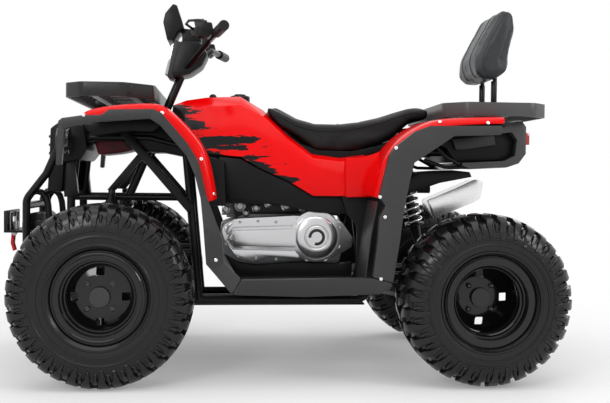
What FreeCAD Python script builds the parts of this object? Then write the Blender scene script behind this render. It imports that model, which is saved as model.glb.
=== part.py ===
import FreeCAD, Part
import math
import os

# A utility quad bike: steel tube frame, single-cylinder engine with belt drive
# cover, swing arm and solid rear axle with chain, double wishbones in front,
# plastic bodywork, two racks, a winch and a passenger backrest.
# The frame is +X forward, +Y to the rider's left, +Z up, with the origin on
# the ground under the middle of the overall length.

Vec = FreeCAD.Vector
AHEAD = Vec(1, 0, 0)
LEFT = Vec(0, 1, 0)
UP = Vec(0, 0, 1)
FULL_TURN = 360.0
HALF_TURN = 180.0

SIZES = {
    # driving sizes of the vehicle
    "overall_length": 1894.0,
    "wheel_base": 1230.0,
    "deck_height": 850.0,
    "seat_gap": 0.3,
    "panel_gap": 0.6,
    "panel_wall": 4.0,
    "overrun": 4.0,
    "smallest_edge": 0.01,
    # tyres and wheels
    "front_tyre_radius": 292.0,
    "front_tyre_width": 178.0,
    "front_wheel_y": 415.0,
    "rear_tyre_radius": 279.5,
    "rear_tyre_width": 254.0,
    "rear_wheel_y": 411.0,
    "bead_radius": 127.0,
    "lug_height": 13.0,
    "bead_width_share": 0.78,
    "rim_flange": 15.0,
    "rim_wall": 5.0,
    "rim_seat": 18.0,
    "rim_well": 16.0,
    "front_disc_y": 22.0,
    "rear_disc_y": -40.0,
    "disc_bulge": 14.0,
    "hub_flange_radius": 62.0,
    "hub_hole_radius": 34.0,
    "hub_cap_radius": 31.0,
    "hub_cap_reach": 16.0,
    "hub_barrel_radius": 26.0,
    "hub_flange_wall": 8.0,
    "window_width": 26.0,
    "window_height": 26.0,
    "window_radius": 80.0,
    "window_count": 4,
    "front_brake_radius": 82.0,
    "front_brake_y": 352.0,
    "brake_wall": 4.0,
    # front suspension and steering
    "kingpin_y": 326.0,
    "kingpin_radius": 14.0,
    "lower_joint_z": 200.0,
    "upper_joint_z": 386.0,
    "joint_boss_radius": 17.0,
    "joint_boss_height": 32.0,
    "spindle_radius": 12.5,
    "running_gap": 0.05,
    "arm_tube_radius": 11.0,
    "pivot_boss_radius": 15.0,
    "pivot_boss_reach": 22.0,
    "lower_pivot_z": 238.0,
    "upper_pivot_z": 402.0,
    "lower_arm_spread": 105.0,
    "upper_arm_spread": 80.0,
    "steering_arm_reach": 62.0,
    "steering_arm_z": 330.0,
    "tie_rod_radius": 7.0,
    "tie_rod_eye_radius": 12.0,
    "tie_rod_eye_height": 24.0,
    "steering_eye_height": 20.0,
    "pitman_drop": 30.0,
    "column_top_z": 1030.0,
    "column_top_x": 342.0,
    "column_lean": 23.0,
    "column_radius": 15.0,
    "column_foot_z": 345.0,
    "column_ring_z": 803.0,
    "column_ring_height": 30.0,
    "pitman_reach": 40.0,
    "pitman_pin_y": 30.0,
    "grip_z": 1155.0,
    "grip_x": 185.0,
    "bar_half_width": 383.0,
    "bar_radius": 11.0,
    "grip_radius": 17.0,
    "grip_length": 125.0,
    # frame tubes
    "rail_radius": 14.0,
    "rail_y": 125.0,
    "rail_z": 235.0,
    "upper_rail_y": 118.0,
    "brace_radius": 11.0,
    "front_shock_y": 190.0,
    "front_shock_foot_y": 262.0,
    "front_shock_top_z": 610.0,
    "front_shock_foot_z": 232.0,
    "shock_radius": 27.0,
    "shock_rod_radius": 9.0,
    # rear driveline
    "axle_radius": 16.0,
    "carrier_radius": 38.0,
    "carrier_half_width": 62.0,
    "swing_pivot_z": 314.0,
    "swing_pivot_x": -318.0,
    "pivot_bolt_radius": 8.0,
    "pivot_lug_radius": 26.0,
    "pivot_lug_wall": 8.0,
    "pivot_tube_radius": 20.0,
    "chain_y": 84.0,
    "front_sprocket_radius": 30.0,
    "rear_sprocket_radius": 74.0,
    "front_sprocket_x": -238.0,
    "front_sprocket_z": 322.0,
    "chain_thickness": 13.0,
    "chain_height": 15.0,
    "rear_brake_radius": 92.0,
    "rear_brake_y": 88.0,
    # bodywork
    "flare_y": 470.0,
    "flare_inner_y": 405.0,
    "fender_y": 440.0,
    "footboard_inner_y": 205.0,
    "side_panel_y": 236.0,
    "seat_half_width": 160.0,
    # racks
    "rack_height": 46.0,
    "rack_wall": 9.0,
    "rack_half_width": 360.0,
    "front_rack_z": 925.0,
    "rear_rack_z": 882.0,
    "front_rack_front_x": 699.0,
    "front_rack_rear_x": 412.0,
    "rear_rack_front_x": -556.0,
    "rear_rack_rear_x": -914.0,
    "slat_width": 24.0,
    "slat_count": 7,
    # seat and backrest
    "backrest_half_width": 155.0,
    "post_radius": 11.0,
    "post_y": 75.0,
    "post_x": -801.0,
    # engine and exhaust
    "engine_half_width": 96.0,
    "engine_floor_z": 262.0,
    "cvt_inner_y": 150.0,
    "cvt_outer_y": 212.0,
    "cylinder_half_width": 58.0,
    "fin_pitch": 9.0,
    "fin_wall": 3.0,
    "fin_count": 8,
    "header_radius": 16.0,
    "muffler_y": -150.0,
    "muffler_half_width": 60.0,
    # front end
    "winch_half_width": 120.0,
    "winch_z": 505.0,
    "winch_drum_radius": 34.0,
    "bumper_y": 170.0,
    "bumper_radius": 13.0,
}

doc = FreeCAD.newDocument("quad_bike")
sheet = doc.addObject("Spreadsheet::Sheet", "Sizes")
for row, (alias, value) in enumerate(SIZES.items(), start=1):
    sheet.set(f"A{row}", alias)
    sheet.set(f"B{row}", str(value))
    sheet.setAlias(f"B{row}", alias)
doc.recompute()


class SheetReader:
    """Reads a driving size from the sheet by its alias."""

    def __getattr__(self, alias):
        return float(sheet.get(alias))


S = SheetReader()

rear_axle_x = S.rear_tyre_radius - S.overall_length / 2
front_axle_x = rear_axle_x + S.wheel_base
middle_x = (front_axle_x + rear_axle_x) / 2
front_axle_z = S.front_tyre_radius
arm_pivot_y = S.rail_y + S.rail_radius + S.pivot_boss_radius + S.seat_gap
rear_axle_z = S.rear_tyre_radius


def side_point(x_share, z_share, y=0.0):
    """A point by its shares of the wheel base and of the deck height."""
    return Vec(middle_x + x_share * S.wheel_base, y, z_share * S.deck_height)


def side_points(shares, y=0.0):
    return [side_point(x_share, z_share, y) for x_share, z_share in shares]


def mirrored(points):
    """The same points on the other side of the middle plane, in reverse order."""
    return [Vec(point.x, -point.y, point.z) for point in reversed(points)]


def unit(vector):
    result = Vec(vector)
    result.normalize()
    return result


def rounded(points, radius, closed=False):
    """Lines and tangent arcs along points, with each corner rounded."""
    count = len(points)
    stops = []
    for index, here in enumerate(points):
        if not closed and index in (0, count - 1):
            stops.append((here, here, None))
            continue
        back = points[index - 1] - here
        ahead = points[(index + 1) % count] - here
        turn = math.pi - back.getAngle(ahead)
        if turn < math.radians(1.0) or radius <= 0:
            stops.append((here, here, None))
            continue
        tangent = math.tan(turn / 2)
        reach = min(radius * tangent, 0.45 * back.Length, 0.45 * ahead.Length)
        fitted = reach / tangent
        bisector = unit(unit(back) + unit(ahead))
        middle = here + bisector * (fitted / math.cos(turn / 2) - fitted)
        stops.append((here + unit(back) * reach, here + unit(ahead) * reach, middle))
    pieces = []
    for index, (enter, leave, middle) in enumerate(stops):
        if middle is not None:
            pieces.append(Part.Arc(enter, middle, leave))
        if index < count - 1 or closed:
            following = stops[(index + 1) % count][0]
            if (following - leave).Length > S.smallest_edge:
                pieces.append(Part.LineSegment(leave, following))
    return pieces


def wire_of(pieces):
    return Part.Wire(Part.__sortEdges__([piece.toShape() for piece in pieces]))


def tube(points, radius, bend=60.0, ends=True):
    """A round bar along points, with bends of the given radius."""
    wire = wire_of(rounded(points, bend))
    start = points[0]
    along = unit(points[1] - points[0])
    section = Part.Wire(Part.makeCircle(radius, start, along))
    return wire.makePipeShell([section], True, False)


def bar(start, end, radius):
    along = end - start
    return Part.makeCylinder(radius, along.Length, start, along)


def block(x_range, y_range, z_range):
    return Part.makeBox(
        x_range[1] - x_range[0],
        y_range[1] - y_range[0],
        z_range[1] - z_range[0],
        Vec(x_range[0], y_range[0], z_range[0]),
    )


def slab(points, start_y, end_y, radius=0.0):
    """A side outline extruded across the vehicle between two Y values."""
    level = [Vec(point.x, start_y, point.z) for point in points]
    face = Part.Face(wire_of(rounded(level, radius, closed=True)))
    return face.extrude(Vec(0, end_y - start_y, 0))


def plate(points, low_z, high_z, radius=0.0):
    """A plan outline extruded upwards between two Z values."""
    level = [Vec(point.x, point.y, low_z) for point in points]
    face = Part.Face(wire_of(rounded(level, radius, closed=True)))
    return face.extrude(Vec(0, 0, high_z - low_z))


def joined(shapes):
    result = shapes[0].multiFuse(shapes[1:]) if len(shapes) > 1 else shapes[0]
    result = result.removeSplitter()
    return result.Solids[0] if len(result.Solids) == 1 else result


def both_sides(shape):
    """The shape and its mirror image across the middle plane."""
    return Part.makeCompound([shape, shape.mirror(Vec(0, 0, 0), LEFT)])


def skin(rows, wall):
    """A closed faceted skin: rows of outer points and the same rows set inwards."""
    row_count = len(rows)
    column_count = len(rows[0])

    def at(row, column):
        row = min(max(row, 0), row_count - 1)
        column = min(max(column, 0), column_count - 1)
        return rows[row][column]

    def inwards(row, column):
        along = at(row + 1, column) - at(row - 1, column)
        across = at(row, column + 1) - at(row, column - 1)
        return unit(along.cross(across))

    inner = [
        [rows[row][column] - inwards(row, column) * wall for column in range(column_count)]
        for row in range(row_count)
    ]
    faces = []

    def quad(first, second, third, fourth):
        for corners in ((first, second, third), (first, third, fourth)):
            faces.append(Part.Face(Part.makePolygon([*corners, corners[0]])))

    for row in range(row_count - 1):
        for column in range(column_count - 1):
            for grid in (rows, inner):
                quad(
                    grid[row][column],
                    grid[row + 1][column],
                    grid[row + 1][column + 1],
                    grid[row][column + 1],
                )
    for row in range(row_count - 1):
        for column in (0, column_count - 1):
            quad(rows[row][column], rows[row + 1][column], inner[row + 1][column], inner[row][column])
    for column in range(column_count - 1):
        for row in (0, row_count - 1):
            quad(rows[row][column], rows[row][column + 1], inner[row][column + 1], inner[row][column])
    shell = Part.makeShell(faces)
    shell.sewShape()
    solid = Part.makeSolid(shell)
    if solid.Volume < 0:
        solid.reverse()
    return solid


def piece(label, shape):
    """A sub-part whose shape is made by the solid functions."""
    item = doc.addObject("Part::Feature", label)
    item.Label = label
    item.Shape = shape
    item.Placement = FreeCAD.Placement()
    return item


def origin_plane(body, role):
    return next(plane for plane in body.Origin.OriginFeatures if plane.Role == role)


def sketch_in(body, role, pieces, name):
    sketch = body.newObject("Sketcher::SketchObject", name)
    sketch.AttachmentSupport = [(origin_plane(body, role), "")]
    sketch.MapMode = "FlatFace"
    for item in pieces:
        sketch.addGeometry(item, False)
    return sketch


def revolved_body(label, outline, x_rule, y_rule, z_rule):
    """A body turned about its own Y axis from an outline of (radius, y) pairs."""
    body = doc.addObject("PartDesign::Body", label)
    body.Label = label
    points = [Vec(radius, along, 0) for radius, along in outline]
    sketch = sketch_in(body, "XY_Plane", rounded(points, 0.0, closed=True), label + "_profile")
    turned = body.newObject("PartDesign::Revolution", label + "_turned")
    turned.Profile = sketch
    turned.ReferenceAxis = (sketch, ["V_Axis"])
    turned.Angle = FULL_TURN
    for axis, rule in zip("xyz", (x_rule, y_rule, z_rule)):
        body.setExpression(f".Placement.Base.{axis}", rule)
    return body


FRONT_X_RULE = "-Sizes.overall_length / 2 + Sizes.rear_tyre_radius + Sizes.wheel_base"
REAR_X_RULE = "-Sizes.overall_length / 2 + Sizes.rear_tyre_radius"


def tyre_outline(radius, width):
    """Half a tyre's section, as (radius, y) pairs round the closed outline."""
    bead = S.bead_radius
    wall = radius - bead
    half = width / 2
    side = [
        (bead, S.bead_width_share * half),
        (bead + S.rim_flange, S.bead_width_share * half),
        (bead + 0.18 * wall, 0.93 * half),
        (bead + 0.50 * wall, half),
        (bead + 0.80 * wall, 0.97 * half),
        (bead + 0.95 * wall, 0.84 * half),
        (radius, 0.60 * half),
    ]
    return side + [(reach, -along) for reach, along in reversed(side)]


def rim_outline(width, disc_y, bulge):
    """The section of a pressed steel wheel: flanges, seats, well and disc."""
    half = S.bead_width_share * width / 2
    outer = S.bead_radius - S.seat_gap
    wall = S.rim_wall
    well = outer - S.rim_well
    lip = outer + S.rim_flange
    seat_y = half - S.rim_seat
    well_y = seat_y - S.rim_well
    disc_edge = well - wall
    return [
        (lip, half + wall + S.seat_gap),
        (lip, half + S.seat_gap),
        (outer, half + S.seat_gap),
        (outer, seat_y),
        (well, well_y),
        (well, -well_y),
        (outer, -seat_y),
        (outer, -half - S.seat_gap),
        (lip, -half - S.seat_gap),
        (lip, -half - wall - S.seat_gap),
        (outer - wall, -half - wall - S.seat_gap),
        (outer - wall, -seat_y),
        (well - wall, -well_y),
        (disc_edge, disc_y - wall),
        (S.hub_flange_radius, disc_y + bulge - wall),
        (S.hub_hole_radius, disc_y + bulge - wall),
        (S.hub_hole_radius, disc_y + bulge),
        (S.hub_flange_radius, disc_y + bulge),
        (disc_edge, disc_y),
        (well - wall, well_y),
        (outer - wall, seat_y),
        (outer - wall, half + wall + S.seat_gap),
    ]


def make_rim(label, width, disc_y, x_rule, y_rule, z_rule):
    """A wheel with its four square windows cut through the disc."""
    body = revolved_body(label, rim_outline(width, disc_y, S.disc_bulge), x_rule, y_rule, z_rule)
    low = S.window_radius - S.window_height / 2
    high = S.window_radius + S.window_height / 2
    side = S.window_width / 2
    corners = [Vec(-side, low, 0), Vec(side, low, 0), Vec(side, high, 0), Vec(-side, high, 0)]
    sketch = sketch_in(body, "XZ_Plane", rounded(corners, side / 4, closed=True), label + "_window")
    doc.recompute()
    solid_before = body.Shape.Volume
    pocket = body.newObject("PartDesign::Pocket", label + "_window_cut")
    pocket.Profile = sketch
    pocket.Type = "Length"
    pocket.Midplane = True
    pocket.setExpression("Length", "2 * Sizes.front_tyre_width")
    pattern = body.newObject("PartDesign::PolarPattern", label + "_windows")
    pattern.Originals = [pocket]
    pattern.Axis = (sketch, ["N_Axis"])
    pattern.Angle = FULL_TURN
    pattern.setExpression("Occurrences", "Sizes.window_count")
    body.Tip = pattern
    doc.recompute()
    if body.Shape.Volume >= solid_before:
        raise ValueError(label + " windows cut nothing")
    return body


def make_tyre(label, radius, width, x_rule, y_rule, z_rule):
    return revolved_body(label, tyre_outline(radius, width), x_rule, y_rule, z_rule)


def make_wheels():
    for side, sign in (("left", ""), ("right", "-")):
        turn = 1 if side == "left" else -1
        front_rules = (FRONT_X_RULE, sign + "Sizes.front_wheel_y", "Sizes.front_tyre_radius")
        rear_rules = (REAR_X_RULE, sign + "Sizes.rear_wheel_y", "Sizes.rear_tyre_radius")
        make_tyre("front_tyre_" + side, S.front_tyre_radius, S.front_tyre_width, *front_rules)
        make_tyre("rear_tyre_" + side, S.rear_tyre_radius, S.rear_tyre_width, *rear_rules)
        front = make_rim("front_rim_" + side, S.front_tyre_width, S.front_disc_y, *front_rules)
        rear = make_rim("rear_rim_" + side, S.rear_tyre_width, S.rear_disc_y, *rear_rules)
        if turn < 0:
            for body in (front, rear):
                body.Placement = FreeCAD.Placement(body.Placement.Base, FreeCAD.Rotation(UP, HALF_TURN))


def turned_y(outline, x, z, side=1):
    """A solid turned about a line along Y, from (radius, y) pairs."""
    points = [Vec(x + radius, side * along, z) for radius, along in outline]
    face = Part.Face(Part.makePolygon(points + [points[0]]))
    return face.revolve(Vec(x, 0, z), LEFT, FULL_TURN)


def front_hub_shape(side):
    """Hub, brake disc, wheel flange, nuts and cap, bored for the spindle."""
    disc_inner = S.front_wheel_y + S.front_disc_y + S.disc_bulge - S.rim_wall - S.seat_gap
    cap_end = disc_inner + S.rim_wall + S.hub_cap_reach
    bore = S.spindle_radius + S.running_gap
    bore_end = disc_inner - S.hub_flange_wall
    brake = S.front_brake_y
    outline = [
        (bore, brake - S.brake_wall),
        (S.front_brake_radius, brake - S.brake_wall),
        (S.front_brake_radius, brake),
        (S.hub_barrel_radius, brake),
        (S.hub_barrel_radius, bore_end),
        (S.hub_flange_radius, bore_end),
        (S.hub_flange_radius, disc_inner),
        (S.hub_cap_radius, disc_inner),
        (S.hub_cap_radius, cap_end),
        (0, cap_end),
        (0, bore_end),
        (bore, bore_end),
    ]
    return turned_y(outline, front_axle_x, front_axle_z, side)


def knuckle_shape(side):
    """Upright with its kingpin, spindle, steering arm and brake caliper."""
    king = Vec(front_axle_x, side * S.kingpin_y, 0)
    low = S.lower_joint_z + S.joint_boss_height / 2 + S.seat_gap
    high = S.upper_joint_z - S.joint_boss_height / 2 - S.seat_gap
    pin = bar(king + UP * low, king + UP * high, S.kingpin_radius)
    spindle_end = S.front_wheel_y + S.front_disc_y + S.disc_bulge - S.rim_wall - 3 * S.hub_flange_wall
    axle = Vec(front_axle_x, 0, front_axle_z)
    spindle = bar(axle + LEFT * side * S.kingpin_y, axle + LEFT * side * spindle_end, S.spindle_radius)
    boss_end = S.front_brake_y - S.brake_wall - S.seat_gap
    boss = bar(axle + LEFT * side * (S.kingpin_y - S.kingpin_radius), axle + LEFT * side * boss_end, 22.0)
    arm_start = Vec(front_axle_x, side * S.kingpin_y, S.steering_arm_z)
    arm_end = steering_pin(side)
    arm = bar(arm_start, arm_end, 9.0)
    half = S.steering_eye_height / 2
    eye = bar(arm_end - UP * half, arm_end + UP * half, S.tie_rod_eye_radius)
    return joined([pin, spindle, boss, arm, eye])


def steering_pin(side):
    """The steering arm's pin, ahead of the kingpin."""
    return Vec(front_axle_x + S.steering_arm_reach, side * S.kingpin_y, S.steering_arm_z)


def column_axis():
    lean = math.radians(S.column_lean)
    return Vec(-math.sin(lean), 0, math.cos(lean))


def column_point(height):
    """The point of the steering axis at a height above the ground."""
    axis = column_axis()
    top = Vec(S.column_top_x, 0, S.column_top_z)
    return top + axis * ((height - S.column_top_z) / axis.z)


def pitman_pin(side):
    """Where a tie rod meets the column's foot."""
    axis = column_axis()
    ahead = Vec(axis.z, 0, -axis.x)
    return column_point(S.column_foot_z) + ahead * S.pitman_reach + LEFT * side * S.pitman_pin_y


def tie_rod_shape(side):
    """Tie rod between the steering arm's eye and the column's foot plate."""
    half = S.tie_rod_eye_height / 2
    start = steering_pin(side) - UP * (S.steering_eye_height / 2 + S.seat_gap + half)
    end = pitman_pin(side) - UP * S.pitman_drop
    eye = bar(start - UP * half, start + UP * half, S.tie_rod_eye_radius)
    inner_eye = bar(end - UP * half, end + UP * half, S.tie_rod_eye_radius)
    return joined([bar(start, end, S.tie_rod_radius), eye, inner_eye])


def make_front_corner():
    """Hub, knuckle and tie rod of both front wheels."""
    for kind, shape in (
        ("front_hub", front_hub_shape(1)),
        ("knuckle", knuckle_shape(1)),
        ("tie_rod", tie_rod_shape(1)),
    ):
        piece(kind + "_left", shape)
        piece(kind + "_right", shape.mirror(Vec(0, 0, 0), LEFT))


def make_steering():
    """Column with its foot plate, handlebar, grips, pod and mirrors."""
    axis = column_axis()
    foot = column_point(S.column_foot_z)
    top = column_point(S.column_top_z)
    ahead = Vec(axis.z, 0, -axis.x)
    stem = bar(foot, top, S.column_radius)
    arm = [
        foot - ahead * 20.0 + LEFT * 24.0,
        foot - ahead * 20.0 - LEFT * 24.0,
        foot + ahead * (S.pitman_reach + 16.0) - LEFT * (S.pitman_pin_y + 14.0),
        foot + ahead * (S.pitman_reach + 16.0) + LEFT * (S.pitman_pin_y + 14.0),
    ]
    face = Part.Face(Part.makePolygon(arm + [arm[0]]))
    pitman = face.extrude(axis * 8.0)
    piece("steering_column", joined([stem, pitman]))

    clamp = top + axis * (S.bar_radius + S.seat_gap)
    grip_end = Vec(S.grip_x, S.bar_half_width, S.grip_z)
    bend = Vec(S.grip_x + 50.0, 0.36 * S.bar_half_width, S.grip_z - 8.0)
    half = [Vec(clamp.x, 0.12 * S.bar_half_width, clamp.z), bend, grip_end]
    run = mirrored(half) + half
    piece("handlebar", tube(run, S.bar_radius, 40.0))

    grips = []
    for side in (1, -1):
        start = Vec(S.grip_x, side * S.bar_half_width, S.grip_z)
        inner = Vec(bend.x, side * bend.y, bend.z)
        along = unit(inner - start)
        outside = start - along * 6.0
        grip = bar(outside, outside + along * S.grip_length, S.grip_radius)
        hole = bar(start, start + along * S.grip_length * 2, S.bar_radius + S.seat_gap)
        grips.append(grip.cut(hole))
    piece("grips", Part.makeCompound(grips))


def make_frame():
    """Welded tube frame: rails, uprights, cross tubes and rear loop."""
    y_low = S.rail_y
    y_high = S.upper_rail_y
    side_half = []
    rail = [
        side_point(-0.62, 0.90, y_high),
        side_point(-0.34, 0.90, y_high),
        side_point(-0.08, 0.80, y_high),
        side_point(0.16, 0.86, y_high),
        side_point(0.40, 0.945, y_high),
        side_point(0.60, 0.945, y_high),
        side_point(0.62, 0.70, y_low),
        side_point(0.62, 0.40, y_low),
        Vec(side_point(0.57, 0).x, y_low, S.rail_z),
        Vec(side_point(-0.235, 0).x, y_low, S.rail_z),
        side_point(-0.235, 0.42, y_low),
        side_point(-0.20, 0.825, y_high),
    ]
    side_half.append(tube(rail, S.rail_radius))
    side_half.append(bar(Vec(side_point(0.26, 0).x, y_low, S.rail_z), side_point(0.30, 0.90, y_high), S.rail_radius))
    for low_share, z_share in ((0.29, 0.70), (0.28, 0.473)):
        side_half.append(bar(side_point(low_share, z_share, y_low), side_point(0.62, z_share, y_low), S.brace_radius))
    lug = Vec(S.swing_pivot_x, y_low, S.swing_pivot_z)
    lug_half = LEFT * S.pivot_lug_wall / 2
    side_half.append(bar(lug - lug_half, lug + lug_half, S.pivot_lug_radius))
    left = joined(side_half)
    shapes = [left, left.mirror(Vec(0, 0, 0), LEFT)]
    pivot = Vec(S.swing_pivot_x, 0, S.swing_pivot_z)
    shapes.append(bar(pivot - LEFT * y_low, pivot + LEFT * y_low, S.pivot_bolt_radius))
    shapes += column_carriers()
    for x_share, z_share, reach in (
        (0.62, 0.50, y_low),
        (-0.62, 0.90, y_high),
        (-0.40, 0.90, y_high),
    ):
        shapes.append(bar(side_point(x_share, z_share, -reach), side_point(x_share, z_share, reach), S.brace_radius))
    for x_share in (-0.18, 0.28, 0.42):
        middle = Vec(side_point(x_share, 0).x, 0, S.rail_z)
        shapes.append(bar(middle - LEFT * y_low, middle + LEFT * y_low, S.brace_radius))
    return piece("frame", joined(shapes))


def column_carriers():
    """Bearing ring on a cross tube, and the post under the column's foot."""
    axis = column_axis()
    ring = column_point(S.column_ring_z)
    inner = S.column_radius + S.seat_gap
    half = axis * S.column_ring_height / 2
    sleeve = bar(ring - half, ring + half, inner + S.panel_wall).cut(bar(ring - half * 2, ring + half * 2, inner))
    shapes = [sleeve]
    for side in (1, -1):
        start = ring + LEFT * side * (inner + S.panel_wall / 2)
        end = Vec(ring.x, side * S.upper_rail_y, ring.z)
        shapes.append(bar(start, end, S.column_ring_height / 4))
    foot = column_point(S.column_foot_z)
    base = Vec(foot.x, 0, S.rail_z)
    top = Vec(foot.x, 0, S.column_foot_z - 2 * S.seat_gap - S.column_radius * abs(axis.x))
    shapes.append(bar(base, top, S.post_radius))
    shapes.append(bar(base - LEFT * S.rail_y, base + LEFT * S.rail_y, S.brace_radius))
    return shapes


def make_arms():
    """Upper and lower wishbones on both sides."""
    arms = []
    for height, pivot_z, spread in (
        (S.lower_joint_z, S.lower_pivot_z, S.lower_arm_spread),
        (S.upper_joint_z, S.upper_pivot_z, S.upper_arm_spread),
    ):
        joint = Vec(front_axle_x, S.kingpin_y, height)
        half = S.joint_boss_height / 2
        shapes = [bar(joint - UP * half, joint + UP * half, S.joint_boss_radius)]
        for way in (1, -1):
            pivot = Vec(front_axle_x + way * spread, arm_pivot_y, pivot_z)
            reach = AHEAD * S.pivot_boss_reach
            shapes.append(bar(joint, pivot, S.arm_tube_radius))
            shapes.append(bar(pivot - reach, pivot + reach, S.pivot_boss_radius))
        arms.append(joined(shapes))
    mirror = [arm.mirror(Vec(0, 0, 0), LEFT) for arm in arms]
    return piece("wishbones", Part.makeCompound(arms + mirror))


def make_shock(start, end, radius, rod_radius):
    along = unit(end - start)
    length = (end - start).Length
    body = bar(start + along * 0.12 * length, end - along * 0.12 * length, radius)
    rod = bar(start, end, rod_radius)
    return joined([body, rod])


def make_shocks():
    foot = Vec(front_axle_x, S.front_shock_foot_y, S.front_shock_foot_z)
    top = Vec(front_axle_x, S.front_shock_y, S.front_shock_top_z)
    piece("front_shocks", both_sides(make_shock(foot, top, S.shock_radius, S.shock_rod_radius)))
    rear_foot = side_point(-0.40, 0.50)
    rear_top = side_point(-0.345, 0.86)
    piece("rear_shock", make_shock(rear_foot, rear_top, S.shock_radius + 6.0, S.shock_rod_radius))


def make_swing_arm():
    """Box arm from the frame's pivot to the rear axle's bearing carrier."""
    pivot = Vec(S.swing_pivot_x, 0, S.swing_pivot_z)
    axle = Vec(rear_axle_x, 0, rear_axle_z)
    shapes = [
        bar(pivot - LEFT * S.carrier_half_width, pivot + LEFT * S.carrier_half_width, S.pivot_tube_radius),
        bar(axle - LEFT * S.carrier_half_width, axle + LEFT * S.carrier_half_width, S.carrier_radius),
    ]
    for side in (1, -1):
        shapes.append(bar(pivot + LEFT * side * 40.0, axle + LEFT * side * 40.0, 18.0))
    solid = joined(shapes)
    bore = bar(
        axle - LEFT * S.overall_length, axle + LEFT * S.overall_length, S.axle_radius + S.running_gap
    )
    pin = bar(
        pivot - LEFT * S.overall_length, pivot + LEFT * S.overall_length, S.pivot_bolt_radius + S.seat_gap
    )
    return piece("swing_arm", solid.cut(bore).cut(pin))


def make_rear_axle():
    """Solid axle with both wheel flanges, the sprocket and the brake disc."""
    flange_out = S.rear_wheel_y + S.rear_disc_y + S.disc_bulge - S.rim_wall - S.seat_gap
    flange_in = flange_out - S.hub_flange_wall
    cap_end = flange_out + S.rim_wall + S.hub_cap_reach
    outline = [
        (0, -cap_end),
        (S.hub_cap_radius, -cap_end),
        (S.hub_cap_radius, -flange_out),
        (S.hub_flange_radius, -flange_out),
        (S.hub_flange_radius, -flange_in),
        (S.hub_barrel_radius, -flange_in),
        (S.hub_barrel_radius, -flange_in + 5 * S.hub_flange_wall),
        (S.axle_radius, -flange_in + 5 * S.hub_flange_wall),
        (S.axle_radius, -S.rear_brake_y - S.brake_wall),
        (S.rear_brake_radius, -S.rear_brake_y - S.brake_wall),
        (S.rear_brake_radius, -S.rear_brake_y),
        (S.axle_radius, -S.rear_brake_y),
        (S.axle_radius, S.chain_y - S.brake_wall / 2),
        (S.rear_sprocket_radius, S.chain_y - S.brake_wall / 2),
        (S.rear_sprocket_radius, S.chain_y + S.brake_wall / 2),
        (S.axle_radius, S.chain_y + S.brake_wall / 2),
        (S.axle_radius, flange_in - 5 * S.hub_flange_wall),
        (S.hub_barrel_radius, flange_in - 5 * S.hub_flange_wall),
        (S.hub_barrel_radius, flange_in),
        (S.hub_flange_radius, flange_in),
        (S.hub_flange_radius, flange_out),
        (S.hub_cap_radius, flange_out),
        (S.hub_cap_radius, cap_end),
        (0, cap_end),
    ]
    return piece("rear_axle", turned_y(outline, rear_axle_x, rear_axle_z))


def belt_loop(first, first_radius, second, second_radius):
    """The closed outline round two circles in the side plane."""
    along = second - first
    swing = math.acos((first_radius - second_radius) / along.Length)
    heading = math.atan2(along.z, along.x)

    def rim_point(centre, radius, angle):
        return Vec(centre.x + radius * math.cos(angle), centre.y, centre.z + radius * math.sin(angle))

    high = heading + swing
    low = heading - swing
    first_high = rim_point(first, first_radius, high)
    first_low = rim_point(first, first_radius, low)
    second_high = rim_point(second, second_radius, high)
    second_low = rim_point(second, second_radius, low)
    pieces = [
        Part.LineSegment(first_high, second_high),
        Part.Arc(second_high, rim_point(second, second_radius, heading), second_low),
        Part.LineSegment(second_low, first_low),
        Part.Arc(first_low, rim_point(first, first_radius, heading + math.pi), first_high),
    ]
    return wire_of(pieces)


def make_chain():
    """Drive chain as a loop of plates on both sides of the sprockets."""
    gap = S.brake_wall / 2 + 5.0
    plates = []
    for side in (1, -1):
        near = side * gap
        first = Vec(S.front_sprocket_x, S.chain_y + near, S.front_sprocket_z)
        second = Vec(rear_axle_x, S.chain_y + near, rear_axle_z)
        outer = belt_loop(first, S.front_sprocket_radius + S.chain_height / 2, second, S.rear_sprocket_radius + S.chain_height / 2)
        inner = belt_loop(first, S.front_sprocket_radius - S.chain_height / 2, second, S.rear_sprocket_radius - S.chain_height / 2)
        ring = Part.Face(outer).cut(Part.Face(inner))
        plates.append(ring.extrude(Vec(0, side * 2.0, 0)))
    return piece("chain", Part.makeCompound(plates))


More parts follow.
